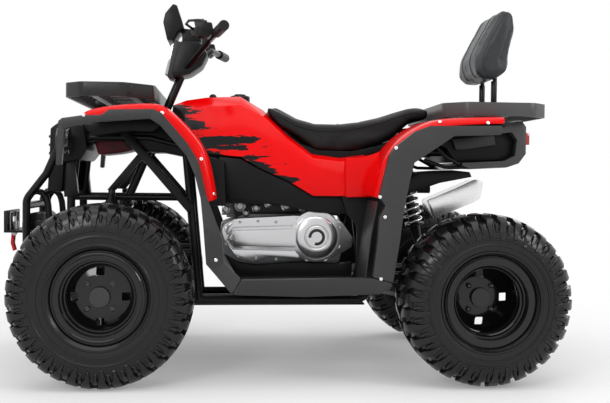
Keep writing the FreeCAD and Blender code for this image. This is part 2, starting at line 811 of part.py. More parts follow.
def make_engine():
    """Crankcase block with the finned cylinder and head leaning forwards."""
    low = S.engine_floor_z
    case = [
        Vec(side_point(-0.135, 0).x, 0, low),
        Vec(side_point(0.17, 0).x, 0, low),
        Vec(side_point(0.20, 0).x, 0, low + 60.0),
        Vec(side_point(0.20, 0).x, 0, low + 240.0),
        Vec(side_point(0.13, 0).x, 0, low + 275.0),
        Vec(side_point(-0.13, 0).x, 0, low + 275.0),
        Vec(side_point(-0.155, 0).x, 0, low + 200.0),
    ]
    shapes = [slab(case, -S.engine_half_width, S.engine_half_width, 20.0)]
    base = Vec(side_point(0.15, 0).x, 0, low + 270.0)
    half = S.cylinder_half_width
    for index in range(int(S.fin_count)):
        level = base.z + index * S.fin_pitch
        shapes.append(block((base.x - half, base.x + half), (-half, half), (level, level + S.fin_wall)))
    top = base.z + S.fin_count * S.fin_pitch
    core = 0.7 * half
    shapes.append(block((base.x - core, base.x + core), (-core, core), (base.z - S.fin_pitch, top)))
    shapes.append(block((base.x - 0.85 * half, base.x + 0.85 * half), (-0.85 * half, 0.85 * half), (top, top + 45.0)))
    recess = Vec(S.front_sprocket_x, 0, S.front_sprocket_z)
    room = S.front_sprocket_radius + S.chain_height
    pocket = bar(
        recess + LEFT * (S.chain_y - S.chain_thickness),
        recess + LEFT * (S.engine_half_width + S.overrun),
        room,
    )
    shaft = bar(recess, recess + LEFT * (S.chain_y + S.brake_wall / 2), S.axle_radius)
    wheel_low = recess + LEFT * (S.chain_y - S.brake_wall / 2)
    sprocket = bar(wheel_low, wheel_low + LEFT * S.brake_wall, S.front_sprocket_radius)
    return piece("engine", joined([joined(shapes).cut(pocket), shaft, sprocket]))


def make_cvt_cover():
    """Belt drive cover: long rounded case with the raised round clutch cap."""
    outline = [
        side_point(0.160, 0.618),
        side_point(-0.015, 0.632),
        side_point(-0.139, 0.613),
        side_point(-0.185, 0.519),
        side_point(-0.110, 0.455),
        side_point(-0.016, 0.474),
        side_point(0.075, 0.478),
        side_point(0.126, 0.460),
        side_point(0.184, 0.521),
        side_point(0.198, 0.580),
    ]
    case = slab(outline, S.engine_half_width + S.seat_gap, S.cvt_outer_y, 26.0)
    centre = side_point(-0.067, 0.551)
    cap = bar(Vec(centre.x, S.cvt_inner_y, centre.z), Vec(centre.x, S.cvt_outer_y + 14.0, centre.z), 88.0)
    return piece("cvt_cover", joined([case, cap]))


def make_exhaust():
    """Header pipe and the boxy muffler that rises to the rear."""
    head = Vec(side_point(0.15, 0).x, -S.cylinder_half_width * 0.85 - S.seat_gap, S.engine_floor_z + 366.0)
    run = [
        head,
        head - LEFT * 60.0,
        Vec(side_point(0.0, 0).x, S.muffler_y, S.engine_floor_z + 366.0),
        side_point(-0.20, 0.74, S.muffler_y),
        side_point(-0.40, 0.74, S.muffler_y),
        side_point(-0.46, 0.74, S.muffler_y),
    ]
    pipe = tube(run, S.header_radius, 45.0)
    piece("exhaust_pipe", pipe)
    outline = [
        side_point(-0.445, 0.690),
        side_point(-0.600, 0.786),
        side_point(-0.622, 0.782),
        side_point(-0.612, 0.700),
        side_point(-0.590, 0.682),
        side_point(-0.460, 0.604),
    ]
    low_y = S.muffler_y - S.muffler_half_width
    piece("muffler", slab(outline, low_y, low_y + 2 * S.muffler_half_width, 10.0))


FENDER_PATH_SHARES = [
    (0.605, 0.972),
    (0.544, 1.028),
    (0.511, 1.042),
    (0.420, 1.053),
    (0.400, 1.055),
    (0.364, 1.058),
    (0.344, 1.051),
    (0.265, 0.927),
    (0.236, 0.847),
    (0.215, 0.718),
]
FENDER_INNER_SHARES = [0.0, 0.0, 0.0, 0.0, 0.12, 0.28, 0.40, 0.52, 0.56, 0.57]


def make_front_fender():
    """Red mudguard over the front wheels, falling to the leg shields."""
    rows = []
    for (x_share, z_share), inner in zip(FENDER_PATH_SHARES, FENDER_INNER_SHARES):
        row = []
        for part in (0.0, 0.35, 0.7, 1.0):
            y = S.fender_y * (inner + (1 - inner) * part)
            row.append(side_point(x_share, z_share, y))
        rows.append(row)
    left = skin(rows, S.panel_wall)
    return piece("front_fender", both_sides(left))


FLARE_OUTER_SHARES = [
    (0.608, 0.824),
    (0.602, 0.984),
    (0.593, 0.995),
    (0.540, 1.007),
    (0.497, 1.008),
    (0.477, 1.029),
    (0.367, 1.033),
    (0.347, 1.019),
    (0.284, 0.914),
    (0.254, 0.844),
    (0.234, 0.722),
    (0.193, 0.559),
    (0.189, 0.474),
    (0.145, 0.411),
]
FLARE_ARCH_SHARES = [
    (0.167, 0.354),
    (0.212, 0.431),
    (0.233, 0.466),
    (0.241, 0.609),
    (0.248, 0.708),
    (0.263, 0.794),
    (0.284, 0.865),
    (0.352, 0.976),
    (0.376, 0.998),
    (0.506, 0.984),
    (0.568, 0.965),
    (0.587, 0.955),
    (0.596, 0.824),
]


def make_front_flares():
    outline = side_points(FLARE_OUTER_SHARES + FLARE_ARCH_SHARES)
    solid = slab(outline, S.fender_y + S.seat_gap, S.flare_y, 6.0)
    return piece("front_flares", both_sides(solid))


REAR_FLARE_FRONT_SHARES = [
    (-0.197, 0.418),
    (-0.209, 0.558),
    (-0.213, 0.644),
    (-0.228, 0.685),
    (-0.211, 0.720),
    (-0.217, 0.756),
    (-0.237, 0.874),
    (-0.251, 0.906),
    (-0.304, 0.966),
    (-0.342, 0.987),
    (-0.533, 0.992),
]
REAR_FLARE_ARCH_SHARES = [
    (-0.533, 0.958),
    (-0.407, 0.951),
    (-0.302, 0.848),
    (-0.290, 0.776),
    (-0.276, 0.667),
    (-0.267, 0.558),
    (-0.250, 0.398),
]


def make_rear_flares():
    outline = side_points(REAR_FLARE_FRONT_SHARES + REAR_FLARE_ARCH_SHARES)
    solid = slab(outline, S.fender_y + S.seat_gap, S.flare_y, 6.0)
    return piece("rear_flares", both_sides(solid))


SILL_SHARES = [
    (0.167, 0.352),
    (0.143, 0.406),
    (-0.197, 0.413),
    (-0.250, 0.394),
    (-0.243, 0.372),
    (-0.213, 0.354),
    (-0.020, 0.344),
]
FOOTBOARD_PATH_SHARES = [
    (0.222, 0.500),
    (0.205, 0.420),
    (0.150, 0.375),
    (-0.180, 0.380),
    (-0.195, 0.560),
    (-0.212, 0.700),
]


def make_footboards():
    """Footwell sheets with the sill beam along their outer edge."""
    path = side_points(FOOTBOARD_PATH_SHARES)
    lower = [point for point in path]
    rows = []
    for point in lower:
        rows.append([Vec(point.x, S.footboard_inner_y, point.z), Vec(point.x, S.fender_y, point.z)])
    floor = skin(rows, S.panel_wall)
    sill = slab(side_points(SILL_SHARES), S.fender_y - 6.0, S.flare_y, 8.0)
    return piece("footboards", both_sides(joined([floor, sill])))


REAR_PATH_SHARES = [
    (-0.232, 0.725),
    (-0.246, 0.824),
    (-0.256, 0.908),
    (-0.292, 0.974),
    (-0.328, 1.004),
    (-0.372, 1.014),
    (-0.502, 1.016),
    (-0.537, 1.010),
]
REAR_INNER_SHARES = [0.60, 0.58, 0.50, 0.42, 0.40, 0.40, 0.40, 0.40]


def make_rear_fender():
    rows = []
    for (x_share, z_share), inner in zip(REAR_PATH_SHARES, REAR_INNER_SHARES):
        row = []
        for part in (0.0, 0.5, 1.0):
            y = S.fender_y * (inner + (1 - inner) * part)
            row.append(side_point(x_share, z_share, y))
        rows.append(row)
    left = skin(rows, S.panel_wall)
    return piece("rear_fender", both_sides(left))


# stations along the red cover: x share, top z share, shoulder y, flank y,
# shoulder z share, lower edge y, lower edge z share
COVER_STATIONS = [
    (0.339, 1.080, 0.16, 0.22, 1.050, 0.42, 0.960),
    (0.300, 1.100, 0.20, 0.30, 1.060, 0.48, 0.890),
    (0.245, 1.112, 0.22, 0.34, 1.070, 0.50, 0.880),
    (0.147, 1.118, 0.24, 0.38, 1.080, 0.52, 0.868),
    (0.080, 1.060, 0.26, 0.40, 1.030, 0.53, 0.815),
    (0.014, 0.960, 0.34, 0.44, 0.940, 0.53, 0.774),
    (-0.057, 0.880, 0.38, 0.45, 0.865, 0.54, 0.714),
    (-0.137, 0.866, 0.38, 0.46, 0.850, 0.56, 0.714),
    (-0.210, 0.880, 0.38, 0.48, 0.860, 0.60, 0.720),
]


def make_cover():
    """Red tank cover that runs back under the seat as the side panels."""
    rows = []
    for x_share, top, shoulder, flank, shoulder_z, edge, edge_z in COVER_STATIONS:
        reach = S.fender_y
        left = [
            side_point(x_share, top, 0),
            side_point(x_share, top, shoulder * reach),
            side_point(x_share, shoulder_z, flank * reach),
            side_point(x_share, edge_z, edge * reach),
        ]
        rows.append(mirrored(left[1:]) + left)
    return piece("tank_cover", skin(rows, S.panel_wall))


SIDE_PANEL_SHARES = [
    (0.205, 0.868),
    (0.145, 0.860),
    (0.103, 0.825),
    (0.014, 0.766),
    (-0.057, 0.706),
    (-0.176, 0.706),
    (-0.176, 0.640),
    (-0.060, 0.650),
    (0.080, 0.690),
    (0.190, 0.700),
]


def make_side_panels():
    outline = side_points(SIDE_PANEL_SHARES)
    solid = slab(outline, S.side_panel_y - S.panel_wall, S.side_panel_y, 0.0)
    return piece("side_panels", both_sides(solid))


SEAT_TOP_SHARES = [
    (0.072, 1.088),
    (0.037, 1.065),
    (-0.015, 1.026),
    (-0.067, 1.005),
    (-0.137, 1.004),
    (-0.197, 1.016),
    (-0.255, 1.035),
    (-0.303, 1.058),
    (-0.345, 1.076),
    (-0.400, 1.086),
]
SEAT_LOW_SHARES = [
    (-0.400, 1.048),
    (-0.345, 1.030),
    (-0.300, 0.975),
    (-0.255, 0.935),
    (-0.197, 0.905),
    (-0.137, 0.895),
    (-0.067, 0.905),
    (-0.015, 0.960),
    (0.037, 1.010),
    (0.070, 1.066),
]


def make_seat():
    outline = side_points(SEAT_TOP_SHARES + SEAT_LOW_SHARES)
    return piece("seat", slab(outline, -S.seat_half_width, S.seat_half_width, 12.0))


def rack_outline(front_x, rear_x, half, front_cut, rear_cut):
    return [
        Vec(front_x, -half + front_cut, 0),
        Vec(front_x, half - front_cut, 0),
        Vec(front_x - front_cut, half, 0),
        Vec(rear_x + rear_cut, half, 0),
        Vec(rear_x, half - rear_cut, 0),
        Vec(rear_x, -half + rear_cut, 0),
        Vec(rear_x + rear_cut, -half, 0),
        Vec(front_x - front_cut, -half, 0),
    ]


def make_rack(label, front_x, rear_x, low_z, front_cut, rear_cut):
    """A rack: a deep band all round, slats along it and two cross bars."""
    half = S.rack_half_width
    wall = S.rack_wall
    outer = plate(rack_outline(front_x, rear_x, half, front_cut, rear_cut), low_z, low_z + S.rack_height, 40.0)
    inner = plate(
        rack_outline(front_x - wall, rear_x + wall, half - wall, front_cut - wall / 2, rear_cut - wall / 2),
        low_z - S.overrun,
        low_z + S.rack_height + S.overrun,
        40.0,
    )
    shapes = [outer.cut(inner)]
    count = int(S.slat_count)
    pitch = 2 * (half - wall) / (count + 1)
    for index in range(count):
        y = -half + wall + (index + 1) * pitch
        shapes.append(
            block(
                (rear_x + wall / 2, front_x - wall / 2),
                (y - S.slat_width / 2, y + S.slat_width / 2),
                (low_z + S.rack_height - 8.0, low_z + S.rack_height - 2.0),
            )
        )
    for share in (0.28, 0.72):
        x = rear_x + share * (front_x - rear_x)
        shapes.append(block((x - 12.0, x + 12.0), (-half + wall / 2, half - wall / 2), (low_z + 12.0, low_z + S.rack_height - 8.0)))
    return piece(label, joined(shapes))


BACKREST_SHARES = [
    (-0.630, 1.541),
    (-0.669, 1.529),
    (-0.677, 1.455),
    (-0.651, 1.247),
    (-0.612, 1.214),
    (-0.568, 1.215),
    (-0.541, 1.245),
    (-0.543, 1.315),
    (-0.569, 1.393),
]


def make_backrest():
    outline = side_points(BACKREST_SHARES)
    piece("backrest_pad", slab(outline, -S.backrest_half_width, S.backrest_half_width, 20.0))
    foot_z = S.rear_rack_z + S.rack_height - 2.0 + S.seat_gap
    top_z = BACKREST_SHARES[4][1] * S.deck_height - S.seat_gap - 2.0
    posts = [
        bar(Vec(S.post_x, side * S.post_y, foot_z), Vec(S.post_x, side * S.post_y, top_z), S.post_radius)
        for side in (1, -1)
    ]
    piece("backrest_posts", Part.makeCompound(posts))


def make_bumper():
    run = []
    run.append(side_point(0.615, 1.01, S.bumper_y))
    run.append(side_point(0.681, 0.793, S.bumper_y))
    run.append(side_point(0.735, 0.690, S.bumper_y))
    run.append(side_point(0.735, 0.500, S.bumper_y))
    run.append(side_point(0.660, 0.330, S.bumper_y))
    left = run
    right = mirrored(run)
    hoop = tube(right + left, S.bumper_radius, 45.0)
    cross = bar(side_point(0.735, 0.665, -S.bumper_y), side_point(0.735, 0.665, S.bumper_y), S.bumper_radius)
    return piece("front_bumper", joined([hoop, cross]))


def make_winch():
    """Winch drum and motor with the fairlead plate in front."""
    front_x = S.overall_length / 2
    z = S.winch_z
    half = S.winch_half_width
    drum = bar(Vec(front_x - 110.0, -half, z), Vec(front_x - 110.0, half, z), S.winch_drum_radius)
    base = block((front_x - 70.0, front_x - 6.0), (-half * 0.8, half * 0.8), (z - 38.0, z - 30.0))
    lead = block((front_x - 12.0, front_x), (-half * 0.75, half * 0.75), (z - 38.0, z + 38.0))
    opening = block((front_x - 20.0, front_x + 4.0), (-half * 0.5, half * 0.5), (z - 14.0, z + 14.0))
    tray = block((front_x - 140.0, front_x - 40.0), (-half * 0.8, half * 0.8), (z - 38.0, z - 30.0))
    return piece("winch", joined([drum, base, tray, lead.cut(opening)]))


def make_lamps():
    lamps = []
    for side in (1, -1):
        centre = side_point(0.640, 0.920, side * 0.53 * S.fender_y)
        lamps.append(bar(centre - AHEAD * 40.0, centre, 44.0))
    piece("headlamps", Part.makeCompound(lamps))
    rear = side_point(-0.700, 0.965)
    piece("tail_lamp", block((rear.x - 20.0, rear.x + 20.0), (-90.0, 90.0), (rear.z - 22.0, rear.z + 22.0)))


def make_skid_plate():
    front = side_point(0.56, 0)
    rear = side_point(-0.22, 0)
    top = S.rail_z - S.rail_radius - S.seat_gap
    return piece("skid_plate", block((rear.x, front.x), (-S.rail_y, S.rail_y), (top - 5.0, top)))


def make_all():
    make_wheels()
    make_front_corner()
    make_steering()
    make_frame()
    make_arms()
    make_shocks()
    make_swing_arm()
    make_rear_axle()
    make_chain()
    make_engine()
    make_cvt_cover()
    make_exhaust()
    make_front_fender()
    make_front_flares()
    make_rear_flares()
    make_footboards()
    make_rear_fender()
    make_cover()
    make_side_panels()
    make_seat()
    make_rack("front_rack", S.front_rack_front_x, S.front_rack_rear_x, S.front_rack_z, 60.0, 90.0)
    make_rack("rear_rack", S.rear_rack_front_x, S.rear_rack_rear_x, S.rear_rack_z, 70.0, 60.0)
    make_backrest()
    make_bumper()
    make_winch()
    make_lamps()
    make_skid_plate()


def sub_parts():
    """Every finished body and shape of the document, by its label."""
    kinds = ("PartDesign::Body", "Part::Feature")
    return [item for item in doc.Objects if item.TypeId in kinds]


def check_and_write():
    doc.recompute()
    for item in doc.Objects:
        if "Invalid" in item.State or "Error" in item.State:
            raise ValueError(item.Label + " failed")
    for item in sub_parts():
        if item.Shape.isNull() or not item.Shape.isValid():
            raise ValueError(item.Label + " has no valid shape")
    os.makedirs("parts", exist_ok=True)
    for item in sub_parts():
        item.Shape.exportStep(f"parts/{item.Label}.step")


make_all()
check_and_write()
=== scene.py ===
import bmesh
import bpy
from functools import partial
from math import cos, hypot, pi, radians, sin, tau
from mathutils import Matrix, Vector
from mathutils.bvhtree import BVHTree


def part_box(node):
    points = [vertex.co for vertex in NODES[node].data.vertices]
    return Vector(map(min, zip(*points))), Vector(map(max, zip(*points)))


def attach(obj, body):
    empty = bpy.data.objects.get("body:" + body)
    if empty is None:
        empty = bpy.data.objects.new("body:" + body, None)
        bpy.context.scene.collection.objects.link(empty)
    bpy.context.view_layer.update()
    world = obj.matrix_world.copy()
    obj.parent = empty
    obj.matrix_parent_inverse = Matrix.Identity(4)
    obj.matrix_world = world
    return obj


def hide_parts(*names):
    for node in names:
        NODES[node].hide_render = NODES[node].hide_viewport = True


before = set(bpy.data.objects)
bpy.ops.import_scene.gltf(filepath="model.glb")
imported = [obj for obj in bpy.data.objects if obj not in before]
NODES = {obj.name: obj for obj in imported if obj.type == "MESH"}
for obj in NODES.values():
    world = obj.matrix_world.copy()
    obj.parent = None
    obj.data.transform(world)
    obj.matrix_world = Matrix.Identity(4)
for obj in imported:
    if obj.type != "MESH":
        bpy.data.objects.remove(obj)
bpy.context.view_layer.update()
MM = 0.001
UP = Vector((0, 0, 1))
LEFT = Vector((0, 1, 0))
FORWARD = Vector((1, 0, 0))

# The camera stands to the left of the vehicle, as in the photograph.
CAMERA_PLACE = Vector((0.1619, 3.1713, 0.6752))
CAMERA_YAW = 5.008
CAMERA_PITCH = -1.695
CAMERA_ROLL = 0.591
CAMERA_TURN = (
    Matrix.Rotation(radians(180 - CAMERA_YAW), 3, "Z")
    @ Matrix.Rotation(radians(90 + CAMERA_PITCH), 3, "X")
    @ Matrix.Rotation(radians(CAMERA_ROLL), 3, "Z")
)
FOCAL_PIXELS = 860.35
FRAME_WIDTH = 610
FRAME_HEIGHT = 403
SENSOR_WIDTH = 36.0


def link(item):
    bpy.context.scene.collection.objects.link(item)


def make_camera():
    data = bpy.data.cameras.new("camera")
    data.sensor_width = SENSOR_WIDTH
    data.lens = SENSOR_WIDTH * FOCAL_PIXELS / FRAME_WIDTH
    camera = bpy.data.objects.new("camera", data)
    camera.matrix_world = Matrix.Translation(CAMERA_PLACE) @ CAMERA_TURN.to_4x4()
    link(camera)
    bpy.context.scene.camera = camera


def sight(pixel_x, pixel_y):
    """The direction in which the camera sees a pixel of the photograph."""
    across, up = pixel_x - FRAME_WIDTH / 2, FRAME_HEIGHT / 2 - pixel_y
    return CAMERA_TURN @ Vector((across, up, -FOCAL_PIXELS))


def at_plane(pixel_x, pixel_y, level):
    """Where the line of sight through a pixel meets the upright plane y = level."""
    way = sight(pixel_x, pixel_y)
    return CAMERA_PLACE + way * ((level - CAMERA_PLACE.y) / way.y)


def node_tree(name):
    """A new material with no nodes, and its node tree."""
    material = bpy.data.materials.new(name)
    material.use_nodes = True
    material.node_tree.nodes.clear()
    return material, material.node_tree


def feed(tree, socket, value):
    """Links a socket to another one, or sets its value."""
    if isinstance(value, bpy.types.NodeSocket):
        tree.links.new(value, socket)
    else:
        socket.default_value = value


def add(tree, kind, **values):
    """A shader node with its sockets fed by name."""
    node = tree.nodes.new("ShaderNode" + kind)
    for key, value in values.items():
        feed(tree, node.inputs[key.replace("_", " ")], value)
    return node


def math_node(tree, operation, first, second):
    node = add(tree, "Math")
    node.operation = operation
    feed(tree, node.inputs[0], first)
    feed(tree, node.inputs[1], second)
    return node.outputs[0]


def ranged(tree, value, source, target):
    """A node that carries a value from one range to another."""
    return add(
        tree, "MapRange", Value=value,
        From_Min=source[0], From_Max=source[1], To_Min=target[0], To_Max=target[1],
    )


def mix_colors(tree, factor, first, second):
    mix = add(tree, "Mix")
    mix.data_type = "RGBA"
    for key, value in (("Factor", factor), ("A", first), ("B", second)):
        feed(tree, mix.inputs[key], value)
    return mix.outputs["Result"]


def mix_shaders(tree, factor, first, second):
    mix = add(tree, "MixShader")
    for socket, value in zip(mix.inputs, (factor, first, second)):
        tree.links.new(value, socket)
    return mix.outputs[0]


# What all the finishes share; pointiness in EDGE_BAND lightens a worn edge.
COAT_ROUGHNESS = 0.08
BROAD_SCALE = 9.0
MOTTLE_BAND = (0.35, 0.65)
EDGE_BAND = (0.52, 0.62)
WORN_GAIN = 2.5
WORN_LIFT = 0.05
ROUGH_BAND = (0.3, 0.7)
ROUGH_SPREAD = 0.12
BUMP_DEPTH = 0.0008


def finish(name, color, roughness, specular, grain, scale, metallic=0.0, coat=0.0, mottle=0.12,
           stretch=(1, 1, 1), pebble=0.0, wear=0.06):
    """A surface with mottled colour and roughness, a fine bump and lighter worn edges."""
    color = [value / 1000 for value in color]
    material, tree = node_tree(name)
    place = add(tree, "TexCoord")
    mapping = add(tree, "Mapping", Vector=place.outputs["Object"], Scale=stretch)
    spot = mapping.outputs["Vector"]
    fine = add(tree, "TexNoise", Vector=spot, Scale=scale, Detail=3.0).outputs["Fac"]
    broad = add(tree, "TexNoise", Vector=spot, Scale=BROAD_SCALE, Detail=4.0)
    half = math_node(tree, "MULTIPLY", math_node(tree, "ADD", fine, broad.outputs["Fac"]), 0.5)
    ramp = add(tree, "ValToRGB", Fac=half)
    shares = (1 - mottle, 1 + mottle)
    for stop, position, share in zip(ramp.color_ramp.elements, MOTTLE_BAND, shares):
        stop.position = position
        stop.color = (*[min(1.0, value * share) for value in color], 1)
    geometry = add(tree, "NewGeometry")
    edge = ranged(tree, geometry.outputs["Pointiness"], EDGE_BAND, (0.0, wear))
    worn = (*[min(1.0, value * WORN_GAIN + WORN_LIFT) for value in color], 1)
    rough = ranged(tree, half, ROUGH_BAND,
                   (roughness * (1 - ROUGH_SPREAD), min(1.0, roughness * (1 + ROUGH_SPREAD))))
    height = fine
    if pebble:
        cells = add(tree, "TexVoronoi", Vector=spot, Scale=pebble)
        height = math_node(tree, "ADD", fine, cells.outputs["Distance"])
    bump = add(tree, "Bump", Height=height, Strength=grain, Distance=BUMP_DEPTH)
    shader = add(
        tree, "BsdfPrincipled", Roughness=roughness, Metallic=metallic,
        Coat_Weight=coat, Coat_Roughness=COAT_ROUGHNESS, Specular_IOR_Level=specular,
        Base_Color=mix_colors(tree, edge.outputs["Result"], ramp.outputs["Color"], worn),
        Normal=bump.outputs["Normal"],
    )
    tree.links.new(rough.outputs["Result"], shader.inputs["Roughness"])
    add(tree, "OutputMaterial", Surface=shader.outputs["BSDF"])
    return material


# The splash lies under a falling line and fades towards the rear.
SPLASH_SLOPE = 0.62
SPLASH_HEIGHT = 0.690
SPLASH_REAR = 0.02
SPLASH_BLACK = (0.008, 0.008, 0.009)
DEPTH_GAIN = 7.0
REAR_GAIN = 4.5
STROKE_GAIN = 3.4
BRUSH_TURN = (0, radians(-24), 0)
BRUSH_SCALE = (4.2, 0.3, 24.0)


def splash_finish(name, *settings, **options):
    """A finish with ragged black brush strokes low on the flank."""
    material = finish(name, *settings, **options)
    tree = material.node_tree
    base = next(node for node in tree.nodes if node.type == "BSDF_PRINCIPLED").inputs["Base Color"]
    place = next(node for node in tree.nodes if node.type == "TEX_COORD").outputs["Object"]
    split = add(tree, "SeparateXYZ", Vector=place)
    x, z = split.outputs["X"], split.outputs["Z"]
    calc = partial(math_node, tree)
    brush = add(tree, "Mapping", Vector=place, Rotation=BRUSH_TURN, Scale=BRUSH_SCALE)
    strokes = add(tree, "TexNoise", Vector=brush.outputs["Vector"], Scale=1.0, Detail=6.0,
                  Roughness=0.62)
    line = calc("ADD", calc("MULTIPLY", x, SPLASH_SLOPE), SPLASH_HEIGHT)
    depth = calc("MULTIPLY", calc("SUBTRACT", line, z), DEPTH_GAIN)
    front = calc("MULTIPLY", calc("SUBTRACT", x, SPLASH_REAR), REAR_GAIN)
    ragged = calc("SUBTRACT", strokes.outputs["Fac"], 0.5)
    reach = calc("ADD", calc("MINIMUM", front, depth), calc("MULTIPLY", ragged, STROKE_GAIN))
    mask = calc("GREATER_THAN", reach, 0.0)
    feed(tree, base, mix_colors(tree, mask, base.links[0].from_socket, (*SPLASH_BLACK, 1)))
    return material


# Finishes: colour in thousandths, roughness, specular level, grain and its scale, other settings.
FINISH_SETTINGS = {
    "frame_black": ((4, 4, 4.2), 0.3, 0.22, 0.1, 900, {"wear": 0.05}),
    "trim_black": ((4, 4, 4), 0.36, 0.2, 0.12, 800, {"wear": 0.03}),
    "chrome": ((780, 790, 800), 0.12, 0.5, 0.0, 400, {"metallic": 1, "mottle": 0.04}),
    "steel": ((340, 340, 350), 0.36, 0.5, 0.1, 400, {"metallic": 1}),
    "bolt_steel": ((800, 800, 820), 0.22, 0.5, 0.0, 400, {"metallic": 1, "mottle": 0.05}),
    "steel_dark": ((60, 60, 62), 0.28, 0.5, 0.05, 400, {"metallic": 0.8}),
    "engine_alloy": ((160, 165, 170), 0.42, 0.5, 0.5, 600, {"metallic": 1, "wear": 0.2}),
    "cover_alloy": ((580, 580, 590), 0.24, 0.5, 0.015, 900,
        {"metallic": 1, "mottle": 0.015, "wear": 0}),
    "muffler_alloy": ((780, 780, 790), 0.22, 0.5, 0.05, 300,
        {"metallic": 1, "stretch": (0.12, 1, 1), "mottle": 0.08}),
    "pipe_black": ((10, 10, 10), 0.5, 0.3, 0.2, 400, {}),
    "red": ((800, 0.8, 1.6), 0.16, 0.16, 0.0, 30, {"mottle": 0.03, "wear": 0}),
    # a dark copy of the red plastic: painted shade on the far fender's inside, seen through the
    # front arch
    "red_dark": ((70, 2, 6), 0.4, 0.2, 0.0, 400, {"mottle": 0.2, "wear": 0}),
    "red_splash": ((800, 0.8, 1.6), 0.16, 0.16, 0.0, 30, {"mottle": 0.03, "wear": 0}),
    "flare_grey": ((27, 27, 28), 0.38, 0.32, 0.35, 1100, {"wear": 0.12}),
    "sill_grey": ((22, 22, 23), 0.4, 0.3, 0.35, 1100, {"wear": 0.12}),
    "panel_black": ((3.5, 3.5, 3.5), 0.36, 0.16, 0.15, 1100, {}),
    "rack_dark": ((13, 13, 13.5), 0.34, 0.3, 0.2, 1000, {"wear": 0.15}),
    # a lighter copy of the dark rack plastic: painted light on the rear rack's lit faces
    "rack_light": ((60, 60, 61), 0.34, 0.34, 0.2, 1000, {"wear": 0.15}),
    # a lighter copy of the dark rack plastic: painted light on the tail wrap
    "cowl_grey": ((55, 55, 57), 0.26, 0.45, 0.1, 900, {}),
    "seat_vinyl": ((4.5, 4.5, 4.8), 0.42, 0.22, 0.55, 900, {"pebble": 520, "wear": 0}),
    # one leather in two copies: the front face lighter as a painted sheen, the sides and back
    # darker as painted shade
    "pad_front": ((40, 46, 50), 0.34, 0.45, 0.5, 700, {"pebble": 420, "wear": 0}),
    "pad_side": ((14, 17, 19), 0.34, 0.4, 0.5, 700, {"pebble": 420, "wear": 0}),
    "rubber": ((6, 6, 6), 0.5, 0.22, 0.3, 500, {}),
    "tyre": ((5, 5, 5.1), 0.26, 0.34, 0.1, 160, {"mottle": 0.25, "wear": 0.1}),
    "wheel": ((1.8, 1.8, 1.8), 0.1, 0.42, 0.05, 150, {}),
    "hub_grey": ((28, 28, 29), 0.35, 0.4, 0.15, 400, {}),
    "lens": ((460, 480, 500), 0.06, 0.6, 0.0, 20, {"metallic": 0.5, "coat": 0.4, "mottle": 0.05}),
    "lens_dark": ((12, 12, 13), 0.05, 0.5, 0.0, 20, {"coat": 0.3, "mottle": 0.05}),
    "lens_red": ((420, 6, 6), 0.12, 0.5, 0.0, 20, {"coat": 0.5, "mottle": 0.05}),
    "strap_red": ((620, 8, 10), 0.75, 0.5, 0.6, 900, {"stretch": (1, 4, 1)}),
    "mark_black": ((12, 12, 13), 0.42, 0.4, 0.1, 400, {}),
}
FINISHES = {
    name: (splash_finish if name == "red_splash" else finish)(name, *settings, **options)
    for name, (*settings, options) in FINISH_SETTINGS.items()
}
NODE_FINISH = {
    "chain": "steel", "rear_axle": "hub_grey", "engine": "engine_alloy", "cvt_cover": "cover_alloy",
    "muffler": "muffler_alloy", "exhaust_pipe": "pipe_black", "tank_cover": "red_splash",
    "front_flares": "flare_grey", "rear_flares": "flare_grey", "footboards": "sill_grey",
    # the rear rack takes the lighter copy of the rack plastic, as painted light
    "side_panels": "panel_black", "front_rack": "rack_dark", "rear_rack": "rack_light",
    "headlamps": "lens_dark", "tail_lamp": "lens_red", "grips": "rubber", "winch": "trim_black",
}
KIND_FINISH = {"rim": "wheel", "hub": "hub_grey", "tie_rod": "steel"}
# bevel widths in millimetres for the moulded and cast nodes
NODE_BEVEL = {
    "front_flares": 4.5, "rear_flares": 4.5, "footboards": 2.2, "front_rack": 3, "rear_rack": 3,
    "tank_cover": 6, "side_panels": 1.5, "cvt_cover": 1.2, "muffler": 2, "winch": 0.6,
    "backrest_posts": 0.6, "skid_plate": 0.6, "tail_lamp": 1.5, "headlamps": 1.5,
}
BEVEL_ANGLE = radians(28)
SMOOTH_ANGLE = radians(32)
WELD_DISTANCE = 0.00002


def modify(item, kind, **settings):
    """A modifier with its settings."""
    modifier = item.modifiers.new(kind.lower(), kind)
    for key, value in settings.items():
        setattr(modifier, key, value)
    return modifier


def apply_all(item):
    """Turns an object's modifiers into its mesh."""
    graph = bpy.context.evaluated_depsgraph_get()
    result = bpy.data.meshes.new_from_object(item.evaluated_get(graph))
    item.modifiers.clear()
    item.data = result


def shade_smooth(mesh):
    mesh.polygons.foreach_set("use_smooth", [True] * len(mesh.polygons))


def finish_of(name):
    """The finish of a carried-over CAD node, by its name or kind."""
    kinds = [key for kind, key in KIND_FINISH.items() if kind in name]
    return FINISHES[NODE_FINISH.get(name) or (kinds + ["frame_black"])[0]]


def dress_nodes():
    """Materials, smooth shading below a corner angle, and small bevels."""
    for name, item in NODES.items():
        mesh = item.data
        mesh.materials.clear()
        mesh.materials.append(finish_of(name))
        normals = mesh.attributes.get("custom_normal")
        if normals:
            mesh.attributes.remove(normals)
        shade_smooth(mesh)
        modify(item, "WELD", merge_threshold=WELD_DISTANCE)
        if name in NODE_BEVEL:
            modify(item, "BEVEL", width=NODE_BEVEL[name] * MM, segments=2, limit_method="ANGLE",
                   angle_limit=BEVEL_ANGLE)
        modify(item, "EDGE_SPLIT", split_angle=SMOOTH_ANGLE)


# A skin is the finish of a piece and its material slot.
ALLOY = ("cover_alloy", "cover_alloy")
CASTING = ("engine_alloy", "engine_alloy")
CHROME = ("chrome", "spring_chrome")
# dark rack plastic, lightened as painted light
COWL_PAINTED_LIGHT = ("cowl_grey", "dark_rack")
